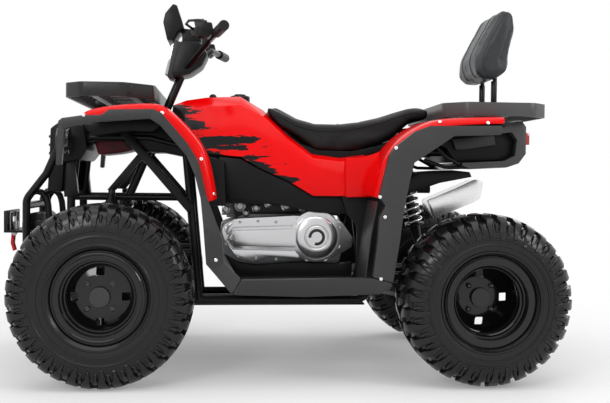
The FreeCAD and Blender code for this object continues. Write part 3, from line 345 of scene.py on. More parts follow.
# the red plastic darkened as painted shade
RED_PAINTED_SHADE = ("red_dark", "red_plastic")
LENS = ("lens", "lamp_glass")
MARK = ("mark_black", "black_plastic")
PANEL = ("panel_black", "black_plastic")
RED = ("red", "red_plastic")
STEEL = ("steel", "black_steel")
STRAP = ("strap_red", "red_plastic")
TRIM = ("trim_black", "black_plastic")
TUBE = ("frame_black", "black_steel")
VINYL = ("seat_vinyl", "seat_vinyl")


def grid(rows, size, ring=True, loop=False):
    """Faces between rows of points. A ring joins the last row to the first, a loop closes rows."""
    total = rows * size
    faces = []
    for here in range(0, total if ring else total - size, size):
        after = (here + size) % total
        for index in range(size if loop else size - 1):
            other = (index + 1) % size
            faces.append((here + index, after + index, after + other, here + other))
    return faces


class Shapes:
    """Collects the points and faces of several forms for one mesh."""

    def __init__(self):
        self.points = []
        self.faces = []

    def add(self, points, faces):
        base = len(self.points)
        self.points += [Vector(point) for point in points]
        self.faces += [tuple(base + index for index in face) for face in faces]
        return self

    def turned(self, place, along, outline, sides=16, start=0.0, sweep=tau):
        """A form turned about an axis from (radius, height) pairs in millimetres."""
        along = along.normalized()
        aside = along.orthogonal().normalized()
        across = along.cross(aside)
        whole = sweep == tau
        count = sides if whole else sides + 1
        points = []
        for step in range(count):
            angle = start + sweep * step / sides
            spoke = aside * cos(angle) + across * sin(angle)
            points += [place + (spoke * radius + along * height) * MM for radius, height in outline]
        return self.add(points, grid(count, len(outline), whole))

    def mirrored(self):
        """Adds the mirror image across the middle plane."""
        base = len(self.points)
        self.points += [Vector((point.x, -point.y, point.z)) for point in self.points]
        self.faces += [tuple(base + index for index in reversed(face)) for face in self.faces]
        return self


def show(item, body):
    """Puts a piece into the scene, on its body."""
    link(item)
    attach(item, body)
    return item


def piece(name, shapes, skin, body="chassis", angle=35.0):
    """A mesh object in the row frame that rides on a body."""
    key, slot = skin
    mesh = bpy.data.meshes.new(name)
    mesh.from_pydata([tuple(point) for point in shapes.points], [], shapes.faces)
    form = bmesh.new()
    form.from_mesh(mesh)
    bmesh.ops.recalc_face_normals(form, faces=form.faces)
    form.to_mesh(mesh)
    form.free()
    shade_smooth(mesh)
    mesh.set_sharp_from_angle(angle=radians(angle))
    mesh.materials.append(FINISHES[key])
    return show(bpy.data.objects.new(name, mesh), body)


def plate(name, skin, near, far, bevel, pixels, body="chassis", both=False):
    """A bevelled piece whose side outline is drawn on the plane y = near."""
    outline = [at_plane(x, z, near) for x, z in pixels]
    form = bmesh.new()
    for side in ((1, -1) if both else (1,)):
        front, back = (
            [form.verts.new((point.x, side * level, point.z)) for point in outline]
            for level in (near, far)
        )
        form.faces.new(front)
        form.faces.new(reversed(back))
        for index in range(len(outline)):
            after = (index + 1) % len(outline)
            form.faces.new((front[index], back[index], back[after], front[after]))
    bmesh.ops.recalc_face_normals(form, faces=form.faces)
    bmesh.ops.bevel(form, geom=form.edges[:], offset=bevel, segments=2, affect="EDGES", profile=0.6,
                    clamp_overlap=True)
    bmesh.ops.triangulate(form, faces=[face for face in form.faces if len(face.verts) > 4])
    form.verts.index_update()
    faces = [[vertex.index for vertex in face.verts] for face in form.faces]
    shapes = Shapes().add([vertex.co for vertex in form.verts], faces)
    form.free()
    return piece(name, shapes, skin, body, 30.0)


def plates(rows, body="chassis", one_sided=False):
    """A plate for each row, mirrored where it keeps off the middle plane."""
    for name, skin, near, far, bevel, pixels in rows:
        both = far > 0 and not one_sided
        plate(name, skin, near * MM, far * MM, bevel * MM, pixels, body, both)


def pipe(name, paths, radius, skin, body="chassis", both=False, resolution=3, capped=True):
    """Round bars along lists of points."""
    key, slot = skin
    curve = bpy.data.curves.new(name, "CURVE")
    curve.dimensions = "3D"
    curve.bevel_depth = radius
    curve.bevel_resolution = resolution
    curve.use_fill_caps = capped
    for side in ((1, -1) if both else (1,)):
        for path in paths:
            spline = curve.splines.new("POLY")
            spline.points.add(len(path) - 1)
            for point, place in zip(spline.points, path):
                point.co = (place[0], side * place[1], place[2], 1)
    curve.materials.append(FINISHES[key])
    return show(bpy.data.objects.new(name, curve), body)


SKIRT_CREST = 0.012
SKIRT_BULGE = Vector((0, 0.002, 0))
SKIRT_ROLL = 0.030
SKIRT_RISE = 0.004
SKIRT_THICKNESS = 0.0035


def skirt(name, stations, near, skin):
    """A thin curved skin round a wheel arch: an outer face that rolls over inwards."""
    rows = []
    for outer_x, outer_z, inner_x, inner_z, depth in stations:
        low = at_plane(inner_x, inner_z, near)
        crest = at_plane(outer_x, outer_z, near - SKIRT_CREST)
        out = Vector((crest.x - low.x, 0, crest.z - low.z)).normalized() * SKIRT_RISE
        middle = low.lerp(crest, 0.55) + SKIRT_BULGE
        over = Vector((crest.x, near - SKIRT_ROLL, crest.z)) + out
        half = Vector((over.x, near - (depth + SKIRT_ROLL) * 0.5, over.z)) + out
        inside = Vector((over.x, near - depth, over.z)) + out
        rows.append([low, middle, crest, over, half, inside])
    faces = grid(len(rows), len(rows[0]), ring=False)
    shapes = Shapes().add([point for row in rows for point in row], faces).mirrored()
    item = piece(name, shapes, skin, angle=60.0)
    modify(item, "SOLIDIFY", thickness=SKIRT_THICKNESS, offset=0.0)
    modify(item, "SUBSURF", levels=2, render_levels=2)
    apply_all(item)
    shade_smooth(item.data)
    return item


def surface_of(*names, extra=()):
    """The joined faces of CAD nodes and pieces, to cast rays at."""
    shapes = Shapes()
    for mesh in [NODES[name].data for name in names] + [item.data for item in extra]:
        shapes.add([vertex.co for vertex in mesh.vertices],
                   [polygon.vertices for polygon in mesh.polygons])
    return BVHTree.FromPolygons(shapes.points, shapes.faces)


def around(centre, radius, angle, y=0.0):
    """A place round a wheel's axis, and y along it."""
    return centre + Vector((radius * cos(angle), y, radius * sin(angle)))


def hub_of(node):
    """The middle of a wheel's part, its box, and the side its outer face looks to."""
    low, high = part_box(node)
    centre = (low + high) / 2
    return centre, low, high, 1 if centre.y > 0 else -1


# Tyres: radii of the rim's seat and lip, and lug heights on tread and side.
BEAD = 0.127
LIP = 0.147
LUG = 0.013
SIDE_LUG = 0.0042
BEAD_WIDTH = 0.78
TYRE_SIDES = 120
# half a tyre's section, in hundredths of the half width and of the height over the bead
TYRE_SECTION = [
    (0, 100), (12, 100), (24, 99.9), (36, 99.6), (46, 98.9), (55, 97.7), (63, 96), (70, 93.8),
    (76.5, 90.8), (82, 87.2), (86.5, 83.2), (90, 79), (93, 74.5), (95.5, 70), (97.2, 66),
    (98.2, 63), (98.8, 60), (99.2, 57), (101.2, 56.2), (101.4, 53.5), (99.6, 52.5), (100, 49),
    (99.9, 44), (100.8, 43), (100.6, 40), (98.5, 39.2), (97.2, 33), (94.5, 27.5), (96.5, 26.2),
    (96.2, 22.5), (91.5, 20.5), (87, 16.5), (82, 14.5),
]
TREAD_END = 11
SIDE_RIB = 17


def tyre_section(radius, half):
    """Half a tyre's section from the tread's middle to the bead, as (y, r)."""
    rise = radius - LUG - BEAD
    section = [(wide / 100 * half, BEAD + high / 100 * rise) for wide, high in TYRE_SECTION]
    return section + [(BEAD_WIDTH * half, LIP), (BEAD_WIDTH * half, BEAD)]


class TreadLine:
    """Places on a tyre's section by distance from the tread's middle."""

    def __init__(self, section):
        self.section = section
        self.length = [0.0]
        for (y0, r0), (y1, r1) in zip(section, section[1:]):
            self.length.append(self.length[-1] + hypot(y1 - y0, r1 - r0))

    def at(self, distance, height):
        """The (y, r) place at a distance along the section and a height above it."""
        for index in range(len(self.section) - 1):
            if distance <= self.length[index + 1]:
                break
        (y0, r0), (y1, r1) = self.section[index], self.section[index + 1]
        span = self.length[index + 1] - self.length[index]
        part = (distance - self.length[index]) / span
        away = (-(r1 - r0) / span, (y1 - y0) / span)
        return y0 + part * (y1 - y0) + away[0] * height, r0 + part * (r1 - r0) + away[1] * height


# lugs of one pitch: (distance from the middle, start, end) in hundredths of the
# section's reach and of the pitch
LUGS = [
    [
        (3, 0, 27), (17, 7, 35), (30, 24, 53), (47, 28, 58), (62, 22, 52), (80, 30, 56),
        (94, 27, 48), (110, 30, 46), (124, 32, 43),
    ],
    [
        (27, 66, 86), (42, 72, 99), (56, 74, 106), (70, 68, 100), (86, 76, 102), (102, 72, 97),
        (116, 76, 95), (130, 79, 92),
    ],
    [(11, 50, 66), (22, 62, 80)], [(90, 2, 14), (104, 3, 15), (116, 4, 13)],
    [(88, 56, 68), (100, 57, 69), (112, 58, 67)],
]
LUG_ROOT = (-0.004, -0.0015)
LUG_EDGE = 0.0022
LUG_CHAMFER = 0.0020
LUG_LOOP = ((0, 2), (2, 4), (4, 5), (5, 3), (3, 1), (1, 0))
SHOULDER = 0.72
SHOULDER_FALL = 1.7
LOWEST_LUG = 0.34
# raised bars round the outer side wall, with the gaps where words would be
BARS_A_PITCH = 6
BAR_GAPS = (0, 1, 2, 6, 7)
BAR_REACH = (0.004, 0.012)
BAR_HEIGHTS = (-0.001, 0.0008)
BAR_ANGLE = 0.0045
BAR_FACES = [(0, 1, 3, 2), (4, 6, 7, 5), (0, 2, 6, 4), (1, 5, 7, 3), (2, 3, 7, 6), (0, 4, 5, 1)]


def lug_height(share):
    """A lug's height, which falls beyond the shoulder."""
    if share < SHOULDER:
        return LUG
    return LUG * max(LOWEST_LUG, 1.0 - (share - SHOULDER) * SHOULDER_FALL)


def add_lug(shapes, line, radius, centre, side, angle, pitch, stations):
    """One tread block that follows the carcass, with a chamfered top."""
    reach = line.length[TREAD_END]
    points = []
    last = len(stations) - 1
    for index, station in enumerate(stations):
        share, start, end = (value / 100 for value in station)
        high = lug_height(share)
        for height, inset in (LUG_ROOT, (high - LUG_CHAMFER, 0.0), (high, LUG_EDGE)):
            shift = {0: inset, last: -inset}.get(index, 0.0)
            y, r = line.at(max(0.0, share * reach + shift), height)
            for edge, way in ((start, 1), (end, -1)):
                turn = angle + edge * pitch + way * inset / radius
                points.append(around(centre, r, turn, side * y))
    faces = []
    for base in range(0, last * 6, 6):
        after = base + 6
        faces += [(base + low, base + high, after + high, after + low) for low, high in LUG_LOOP]
    for base in (0, last * 6):
        faces.append((base, base + 1, base + 3, base + 2))
        faces.append((base + 2, base + 3, base + 5, base + 4))
    shapes.add(points, faces)


def add_bars(shapes, line, centre, outer, count):
    """A ring of short bars on the outer side wall."""
    for step in range(count):
        if step % (2 * BARS_A_PITCH) in BAR_GAPS:
            continue
        bar = []
        for reach in BAR_REACH:
            for height in BAR_HEIGHTS:
                y, r = line.at(line.length[SIDE_RIB] + reach, height)
                for way in (-1, 1):
                    turn = tau * step / count + way * BAR_ANGLE
                    bar.append(around(centre, r, turn, outer * y))
        shapes.add(bar, BAR_FACES)


def make_tyre(node, body, pitches):
    centre, low, high, outer = hub_of(node)
    section = tyre_section(centre.z, (high.y - low.y) / 2 - SIDE_LUG)
    line = TreadLine(section)
    whole = section + [(-y, r) for y, r in reversed(section[1:])]
    turns = [tau * step / TYRE_SIDES for step in range(TYRE_SIDES)]
    points = [around(centre, r, turn, y) for turn in turns for y, r in whole]
    shapes = Shapes().add(points, grid(TYRE_SIDES, len(whole), loop=True))
    pitch = tau / pitches
    for side in (1, -1):
        for count in range(pitches):
            angle = -pi / 2 + (count + (0.5 if side < 0 else 0.0)) * pitch
            for stations in LUGS:
                add_lug(shapes, line, centre.z, centre, side, angle, pitch, stations)
    add_bars(shapes, line, centre, outer, pitches * BARS_A_PITCH)
    tyre = piece(node + "_tread", shapes, ("tyre", "tyre_rubber"), body, 38.0)
    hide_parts(node)


def make_tyres():
    for side in ("left", "right"):
        make_tyre("front_tyre_" + side, "front_wheel_" + side, 18)
        make_tyre("rear_tyre_" + side, "rear_axle_body", 17)


# Fenders: outer and inner edge in pixels, and how far the skin reaches inwards.
FRONT_FENDER = [
    (83.5, 113.5, 84, 118, 0.17), (89, 110.4, 92, 117, 0.19), (105, 107.2, 107, 114, 0.2),
    (122, 105.3, 124, 112, 0.2), (142, 104.3, 144, 111.5, 0.2), (157, 104.2, 153, 112, 0.2),
    (166, 108.5, 160, 117, 0.18), (183, 124.5, 176, 133, 0.14), (197, 140, 189, 148, 0.1),
    (206, 156, 197, 162, 0.075), (211, 178, 202, 182, 0.06), (214.5, 201, 206, 204, 0.05),
]
REAR_FENDER = [
    (505, 118, 505, 124, 0.2), (495, 118, 495, 124, 0.22), (480, 118.4, 480, 124.5, 0.24),
    (460, 119, 460, 125.5, 0.24), (441, 120, 443, 127, 0.24), (424, 125, 430, 131, 0.23),
    (407, 135.5, 414, 141.5, 0.215), (395, 146, 403, 152, 0.2), (384, 161, 393, 166, 0.19),
    (378, 178, 387, 181, 0.185), (374, 198, 382, 200, 0.18),
]
SKIN_PLANE = 0.447
LINER_PLANE = 0.428
LINER_ROWS = 9
LINER_DROP = (4.2, 4.0)


def make_liner(name, stations, shift, depth):
    """A black liner that lies a little inside a fender's skin."""
    rows = [
        (outer_x + shift, outer_z + LINER_DROP[0], inner_x + shift, inner_z + LINER_DROP[1], depth)
        for outer_x, outer_z, inner_x, inner_z, _ in stations[:LINER_ROWS]
    ]
    skirt(name, rows, LINER_PLANE, PANEL)


def make_fenders():
    """Red outer skins and black liners round both arches, on both sides."""
    front = skirt("fender_front_skin", FRONT_FENDER, SKIN_PLANE, RED)
    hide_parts("front_fender")
    rear = skirt("fender_rear_skin", REAR_FENDER, SKIN_PLANE, RED)
    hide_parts("rear_fender")
    make_liner("liner_front", FRONT_FENDER, 0, 0.27)
    make_liner("liner_rear", REAR_FENDER, 2, 0.29)
    return front, rear


FLARE_BOLTS = [
    (83.6, 115), (162, 113), (201, 159), (214, 194), (216, 260), (207, 277), (385, 217), (381, 279),
    (380, 197), (396, 148), (440, 122), (488, 123),
]
FLARE_SEAT = ("front_flares", "rear_flares", "footboards", "side_panels", "tank_cover")
BOLT_HEAD = [(6.2, -1), (6.2, 1), (5.4, 2.6), (3.6, 3.4), (2.6, 3.4), (2.4, 1.6), (0, 1.6)]


def make_bolts(skins):
    seat = surface_of(*FLARE_SEAT, extra=skins)
    shapes = Shapes()
    for pixel in FLARE_BOLTS:
        hit, normal, _, _ = seat.ray_cast(CAMERA_PLACE, sight(*pixel))
        if hit is not None and hit.y >= 0.1:
            shapes.turned(hit, -normal if normal.y < 0 else normal, BOLT_HEAD)
    piece("panel_bolts", shapes.mirrored(), ("bolt_steel", "spring_chrome"))


# Plates: name, skin, near and far plane and bevel in millimetres, side outline in pixels.
FRONT_PLATES = [
    ("arch_beam", PANEL, 245, -245, 8, [
        (85, 121), (120, 115.5), (158, 114), (168, 121), (152, 132), (128, 131), (94, 136),
        (86, 130),
    ]),
    ("nose_face", PANEL, 170, -170, 8, [
        (50, 128), (64, 118), (84, 121), (87, 150), (79, 160), (64, 162), (62, 192), (47, 191),
        (49, 160),
    ]),
    # the far fender's red inside, darkened as painted shade
    ("arch_painted_shade", RED_PAINTED_SHADE, 100, -100, 10, [
        (92, 134), (128, 130), (132, 150), (118, 153), (98, 155),
    ]),
    ("tower_panel", PANEL, 128, -128, 10, [
        (121, 132), (152, 117), (186, 124), (201, 150), (197, 166), (186, 157), (162, 152),
        (148, 152), (126, 147),
    ]),
    ("brace_rear", TUBE, 152, 142, 2, [(120, 134), (128, 131), (193, 206), (188, 213)]),
    ("brace_front", TUBE, 139, 131, 2, [(141, 150), (149, 152), (116, 190), (107, 190)]),
    ("leg_panel", PANEL, 262, 250, 3, [
        (196, 150), (212, 158), (224, 160), (226, 206), (214, 206), (208, 198),
    ]),
    ("front_bracket", TUBE, 150, 120, 3, [(62, 158), (74, 157), (78, 196), (64, 197)]),
]
LAMP_RING = [(0, 4), (16, 3), (24, 0), (25.5, 2), (26.5, 6), (31, 6), (33, 3), (34, -6)]
LAMP_INSET = 0.004
GRILLE_BARS = 6
GRILLE_TOP = (48.5, 136)
GRILLE_STEP = 8.5
GRILLE_BOW = ((-0.135, 0.001), (-0.06, 0.005), (0.06, 0.005), (0.135, 0.001))


def make_front():
    """Nose, inner panels and braces, lamp reflectors and the bars of the grille."""
    plates(FRONT_PLATES)
    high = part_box("headlamps")[1]
    places = [vertex.co for vertex in NODES["headlamps"].data.vertices if vertex.co.y > 0]
    middle = sum(places, Vector()) / len(places)
    lamps = Shapes()
    for side in (1, -1):
        place = Vector((high.x - LAMP_INSET, side * middle.y, middle.z))
        lamps.turned(place, FORWARD, LAMP_RING, sides=36)
    piece("lamp_lenses", lamps, LENS, angle=30.0)
    bars = []
    for step in range(GRILLE_BARS):
        place = at_plane(GRILLE_TOP[0], GRILLE_TOP[1] + step * GRILLE_STEP, 0.170)
        bars.append([(place.x + bow, y, place.z) for y, bow in GRILLE_BOW])
    pipe("nose_bars", bars, 0.0055, TRIM)


# A backing behind the side covers, and the tail wrap, lightened as painted light, with its dark
# inside.
TAIL_PLATES = [
    ("side_backing", PANEL, 222, 212, 3, [
        (216, 162), (262, 170), (318, 192), (376, 193), (378, 203), (330, 205), (218, 203),
    ]),
    ("tail_wrap", COWL_PAINTED_LIGHT, 235, -235, 3, [
        (486, 127), (505, 122.5), (522, 120.5), (526.5, 127), (526, 154), (519, 163.5),
        (507, 167.5), (470, 168.8), (462, 165.5), (462, 162.5), (504, 161), (515, 155.5),
        (517, 140), (512, 132.5), (488, 134.5),
    ]),
    ("tail_inside", PANEL, 205, -205, 6, [
        (424, 140), (436, 135), (452, 132), (486, 131), (514, 134), (516, 154), (504, 160.5),
        (455, 162), (446, 148),
    ]),
    ("tail_box", MARK, 225, 190, 4, [(452, 139), (494, 135), (496, 145), (470, 149), (456, 150)]),
    ("rear_tray", TRIM, 140, -140, 4, [
        (402, 182), (420, 172), (452, 170), (470, 172), (472, 177), (440, 183), (408, 194),
    ]),
]
# bars of the tail, on both sides: pixel and plane
TAIL_BARS = [
    [
        (424, 160, 0.215), (444, 167, 0.215), (470, 167.5, 0.215), (505, 166, 0.215),
        (519, 160, 0.205),
    ],
    [(430, 140, 0.215), (446, 157, 0.215), (462, 166, 0.215)],
]


def make_tail():
    """The panels of the tail, the lower guard and the lamp's bracket."""
    plates(TAIL_PLATES)
    bars = [[at_plane(*place) for place in path] for path in TAIL_BARS]
    pipe("tail_bars", bars, 0.0065, TUBE, both=True)


MIDDLE_PLATES = [
    ("flank_panel", RED, 282, 255, 12, [
        (345, 157), (360, 157.5), (374, 154), (390, 147), (385, 164), (381, 180), (379, 197),
        (345, 198),
    ]),
    ("seat_base", PANEL, 150, -150, 6, [
        (281, 131), (300, 143), (318, 150), (352, 151), (380, 145), (424, 131), (424, 142),
        (384, 160), (318, 164), (296, 156),
    ]),
    ("heel_panel", PANEL, 246, 232, 4, [
        (341, 194), (392, 194), (392, 284), (350, 284), (356, 262), (357, 226), (346, 212),
    ]),
    ("kick_panel", PANEL, 190, 150, 4, [
        (224, 254), (238, 262), (256, 265), (300, 262), (340, 264), (352, 262), (352, 283),
        (240, 282),
    ]),
    ("engine_top", MARK, 85, -85, 4, [
        (232, 203), (262, 200), (300, 203), (338, 206), (340, 216), (300, 213), (258, 216),
        (236, 219),
    ]),
]
BARREL = [(0, 12), (8, 12), (10, 9), (10, 2), (15, 0), (15, -40)]
# fittings on the engine's left side: pixel and size
FITTINGS = [
    ((226, 209), 1.0), ((240, 206), 1.3), ((256, 208), 1.0), ((268, 204), 0.9), ((286, 206), 1.2),
    ((303, 209), 0.9), ((246, 213), 0.8),
]
FITTING_PLANE = 0.115
CAP_PLACE = (240, 98.5, 0.0)
KNOB_PLACE = (213, 102.5, 0.06)
CAP = [(36, -20), (36, 4), (33, 8), (22, 9), (20, 14), (0, 15)]
KNOB = [(0, 30), (7, 28.5), (12, 24), (14, 17), (12, 10), (8, 5), (6, 0), (6, -30)]


def make_middle():
    """Panels round the seat and the footwell, engine fittings, tank cap and shift knob."""
    plates(MIDDLE_PLATES)
    small = Shapes()
    for pixel, size in FITTINGS:
        outline = [(radius * size, height) for radius, height in BARREL]
        small.turned(at_plane(*pixel, FITTING_PLANE), LEFT, outline, sides=20)
    piece("engine_fittings", small, ("steel", "engine_alloy"))
    cap = Shapes().turned(at_plane(*CAP_PLACE), UP, CAP, sides=36)
    piece("cap_and_knob", cap.turned(at_plane(*KNOB_PLACE), UP, KNOB, sides=28), TRIM)


CONTROL_PLATES = [
    ("display_hood", TRIM, 75, -75, 5, [
        (163, 22), (165, 13), (173, 3.5), (177, 5), (182, 20), (184, 28), (178, 31), (173, 40),
        (167, 40), (165, 31),
    ]),
    ("lamp_pod", TRIM, 70, -70, 10, [
        (181, 40), (200, 41), (208, 54), (202, 66), (190, 74), (172, 78), (171, 70),
    ]),
    ("lamp_frame", MARK, 68, -68, 4, [(174.5, 39.5), (183, 42.5), (173, 78.5), (167, 76.5)]),
    ("lamp_front", LENS, 54, -54, 5, [(172.5, 41.5), (180, 44), (170, 76), (164.5, 74.5)]),
    ("bar_clamp", TRIM, 45, -45, 6, [(182, 28), (200, 30), (202, 44), (182, 46)]),
    ("switch_housing", TRIM, 268, 214, 6, [
        (197, 26), (204, 21.5), (212, 22), (214, 32), (208, 37.5), (198, 36),
    ]),
    ("lever_clamp", MARK, 235, 205, 3, [(190, 28), (199, 26), (201, 34), (192, 36)]),
    ("brake_bottle", MARK, 212, 180, 3, [(193.5, 19), (204, 18.5), (207, 33), (197, 35)]),
]
# a brake lever from its clamp outwards: pixel and plane
LEVER = [
    (193, 29, 0.235), (186, 24, 0.262), (189, 20.5, 0.305), (199, 20, 0.345),
    (206, 21.5, 0.385),
]


def make_controls():
    """Display hood, lamp pod, switch housings, levers and their clamps on the bar."""
    plates(CONTROL_PLATES, body="steering")
    lever = [at_plane(*place) for place in LEVER]
    pipe("hand_levers", [lever], 0.0042, ("trim_black", "black_steel"), body="steering", both=True)


SHOCK_END = 0.03


def shock_ends(node, side):
    """The middle of the top and bottom ends of a shock absorber's solid."""
    places = [vertex.co for vertex in NODES[node].data.vertices if vertex.co.y * side > -0.05]
    high, low = max(place.z for place in places), min(place.z for place in places)
    top = [place for place in places if place.z > high - SHOCK_END]
    bottom = [place for place in places if place.z < low + SHOCK_END]
    return sum(top, Vector()) / len(top), sum(bottom, Vector()) / len(bottom)


COIL_STEPS = 28
COIL_SIDES = 8
COIL_TURNS = 8
COIL_WIRE = 0.0048
# where a spring starts and how far before the damper's foot it ends, as shares
SPRING_START = 0.14
SPRING_END = 0.24
SEAT_LIP = 0.006


def coil(shapes, top, bottom, radius):
    """A coil spring as a round wire wound about a line."""
    along = (bottom - top).normalized()
    aside = along.orthogonal().normalized()
    across = along.cross(aside)
    steps = COIL_TURNS * COIL_STEPS
    points = []
    for step in range(steps + 1):
        angle = tau * COIL_TURNS * step / steps
        spoke = aside * cos(angle) + across * sin(angle)
        centre = top.lerp(bottom, step / steps) + spoke * radius
        for index in range(COIL_SIDES):
            turn = tau * index / COIL_SIDES
            points.append(centre + (spoke * cos(turn) + along * sin(turn)) * COIL_WIRE)
    ends = [range(COIL_SIDES), range(steps * COIL_SIDES, len(points))]
    shapes.add(points, grid(steps + 1, COIL_SIDES, ring=False, loop=True) + ends)


def damper_outline(span, seat):
    """A damper between its two eyes, with the plates that hold the spring's ends."""
    return [
        (0, -12), (12, -10), (12, 12), (seat, 0.13 * span), (seat, 0.14 * span), (10, 0.15 * span),
        (10, 0.40 * span), (18, 0.42 * span), (18, 0.74 * span), (seat, 0.75 * span),
        (seat, 0.77 * span), (20, 0.78 * span), (16, 0.92 * span), (12, span), (12, span + 10),
        (0, span + 12),
    ]


def make_shocks():
    for name, node, sides, radius in (
        ("front_springs", "front_shocks", (1, -1), 0.026),
        ("rear_spring", "rear_shock", (1,), 0.030),
    ):
        springs, dampers = Shapes(), Shapes()
        for side in sides:
            top, bottom = shock_ends(node, side)
            along = bottom - top
            coil(springs, top + along * SPRING_START, bottom - along * SPRING_END, radius)
            outline = damper_outline(along.length / MM, (radius + SEAT_LIP) / MM)
            dampers.turned(top, along, outline, sides=28)
        item = piece(name, springs, CHROME, angle=50.0)
        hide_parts(node)
        piece(name + "_dampers", dampers, TUBE, angle=32.0)


WINCH_PLATES = [
    ("hoop_foot", TUBE, 135, 115, 2, [(22, 222), (52, 219), (54, 228), (22, 232)]),
    ("winch_hook", STEEL, 20, -10, 2, [(9.5, 222), (17, 221), (18, 231), (14, 236), (10, 232)]),
    ("hook_strap", STRAP, 12, -12, 0.8, [
        (11.5, 233), (14.5, 234), (13.5, 243), (15.5, 250), (13, 251), (10.5, 243),
    ]),
]
HOOP_PLANE = 0.125
HOOP = [
    (27, 230), (26.5, 204), (28, 197), (32, 192.5), (37, 191), (42, 192.5), (46, 197), (48, 204),
    (50, 224),
]
ROLLER_PLACE = (0.936, 0.045, 0.470)
ROLLER = [(0, 0), (6, 0), (9, 2), (9, 66), (6, 68), (0, 68)]


def make_winch_details():
    """The hoop over the winch, its hook with a strap, and the upright rollers."""
    hoop = [at_plane(x, z, HOOP_PLANE) for x, z in HOOP]
    pipe("winch_hoop", [hoop], 0.0115, TUBE, both=True)
    plates(WINCH_PLATES)
    rollers = Shapes().turned(Vector(ROLLER_PLACE), UP, ROLLER, sides=20).mirrored()
    piece("winch_rollers", rollers, STEEL)


RIMS = (
    ("front_rim_left", "front_wheel_left"), ("front_rim_right", "front_wheel_right"),
    ("rear_rim_left", "rear_axle_body"), ("rear_rim_right", "rear_axle_body"),
)
REAR_STEP_DEPTH = 4
STEP_LINE = [
    (140.5, 0.5), (138.5, 2), (134.5, 2), (132.5, 0), (131, -6), (129.5, -9), (124.5, -9.5),
    (122.5, -12), (121.2, -18), (119.5, -21), (114.5, -21.5), (112.5, -24), (111.2, -30),
    (109.5, -33), (106, -33.5), (104.5, -37), (104, -60), (122, -60), (133, -20), (140.5, 0.5),
]
NUT = [(0, 12), (4.5, 12), (6, 10), (7.5, 9), (9.5, 8), (9.5, 0), (11.5, -1), (11.5, -4)]
NUT_CIRCLE = 0.055


def make_wheels():
    """The stepped ridges inside each outer flange, and four nuts on each wheel."""
    for rim, body in RIMS:
        centre, low, high, outer = hub_of(rim)
        out = LEFT * outer
        depth = REAR_STEP_DEPTH if rim.startswith("rear") else 0.0
        face = Vector((centre.x, high.y if outer > 0 else low.y, centre.z))
        outline = [(radius, height - depth) for radius, height in STEP_LINE]
        steps = Shapes().turned(face, out, outline, sides=96)
        piece(rim + "_steps", steps, ("wheel", "wheel_black"), body, 24.0)
        surface = surface_of(rim)
        hub = rim.replace("front_rim", "front_hub")
        nuts = Shapes()
        for count in range(4):
            start = around(hub_of(hub)[0], NUT_CIRCLE, pi / 4 + count * pi / 2) + out
            hit, _, _, _ = surface.ray_cast(start, -out)
            if hit is not None:
                nuts.turned(hit, out, NUT, sides=6)
        piece(hub + "_nuts", nuts, ("steel_dark", "hub_steel"), body, 20.0)


# The belt cover on the engine's left side.
CVT_CENTRE_PIXEL = (316.5, 237.0)
CVT_FACE = 0.2262
CVT_SCREWS = [
    (276, 222), (258, 221), (240, 222), (228, 226), (226, 244), (238, 256), (256, 258),
    (276, 259),
]
CVT_SCREW_HEAD = [(5, -2), (5, 3), (4.4, 3.8), (2.6, 3.8), (2.4, 2), (0, 2)]
ROUND_COVER = [
    (74, -50), (74, -4), (72.5, -1.5), (69, 0), (67.2, -1.2), (65.5, -1.2), (64, 0.4), (56, 5.2),
    (44, 7.8), (38, 8.2), (36.6, 7), (34, 7), (32.6, 8), (0, 8.6),
]
RING_LINE = [(18.5, 7), (18.5, 9.4), (19.5, 10), (27.5, 10), (28.5, 9.4), (28.5, 7), (18.5, 7)]
EAR = [(8.5, -45), (8.5, 0), (7, 2), (0, 2)]
EARS = 8
EAR_CIRCLE = 0.0735
ROUND_COVER_SIZE = 1.12
# round covers on the engine's right side: place in the engine's box, size
MAGNETO_COVERS = ((0.30, 0.40, 1.0), (0.68, 0.34, 1.25))
COVER_PLATES = [
    ("cover_band", ALLOY, 230, 215, 3, [
        (229, 238), (235, 230.5), (296, 228.5), (296, 247.5), (235, 246),
    ]),
    ("cover_upper", ALLOY, 226.5, 210, 4, [
        (224, 228), (238, 218.5), (296, 215.5), (298, 225.5), (233, 227.5), (227, 235),
    ]),
    ("cover_lower", ALLOY, 225.5, 210, 4, [
        (226, 241), (233, 249.5), (297, 251), (300, 258.5), (268, 256.5), (254, 262), (236, 259),
    ]),
]


def add_round_cover(shapes, centre, out, share):
    """A domed round cover with screwed ears on its rim."""
    outline = [(radius * share, height) for radius, height in ROUND_COVER]
    shapes.turned(centre, out, outline, sides=72)
    for count in range(EARS):
        angle = tau * (count + 0.5) / EARS
        ear = around(centre, EAR_CIRCLE * share, angle) - out * 0.006
        shapes.turned(ear, out, EAR, sides=20)
        shapes.turned(ear + out * 0.002, out, CVT_SCREW_HEAD, sides=12)


def make_cvt_details():
    """The round cover with its dark ring, the raised bands and the rim screws."""
    centre = at_plane(*CVT_CENTRE_PIXEL, CVT_FACE)
    left = Shapes()
    add_round_cover(left, centre, LEFT, ROUND_COVER_SIZE)
    piece("round_cover", left, ALLOY, angle=28.0)
    low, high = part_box("engine")
    right = Shapes()
    for along, level, share in MAGNETO_COVERS:
        place = Vector((low.x + (high.x - low.x) * along, low.y - 0.012,
                        low.z + (high.z - low.z) * level))
        add_round_cover(right, place, -LEFT, share)
    piece("magneto_covers", right, CASTING, angle=28.0)
    ring = Shapes().turned(centre, LEFT, RING_LINE, 52, radians(120), radians(290))
    piece("cover_ring", ring, MARK)
    plates(COVER_PLATES, one_sided=True)
    screws = Shapes()
    for pixel in CVT_SCREWS:
        screws.turned(at_plane(*pixel, CVT_FACE - 0.0005), LEFT, CVT_SCREW_HEAD, sides=12)
    piece("cover_screws", screws, ("steel", "cover_alloy"))


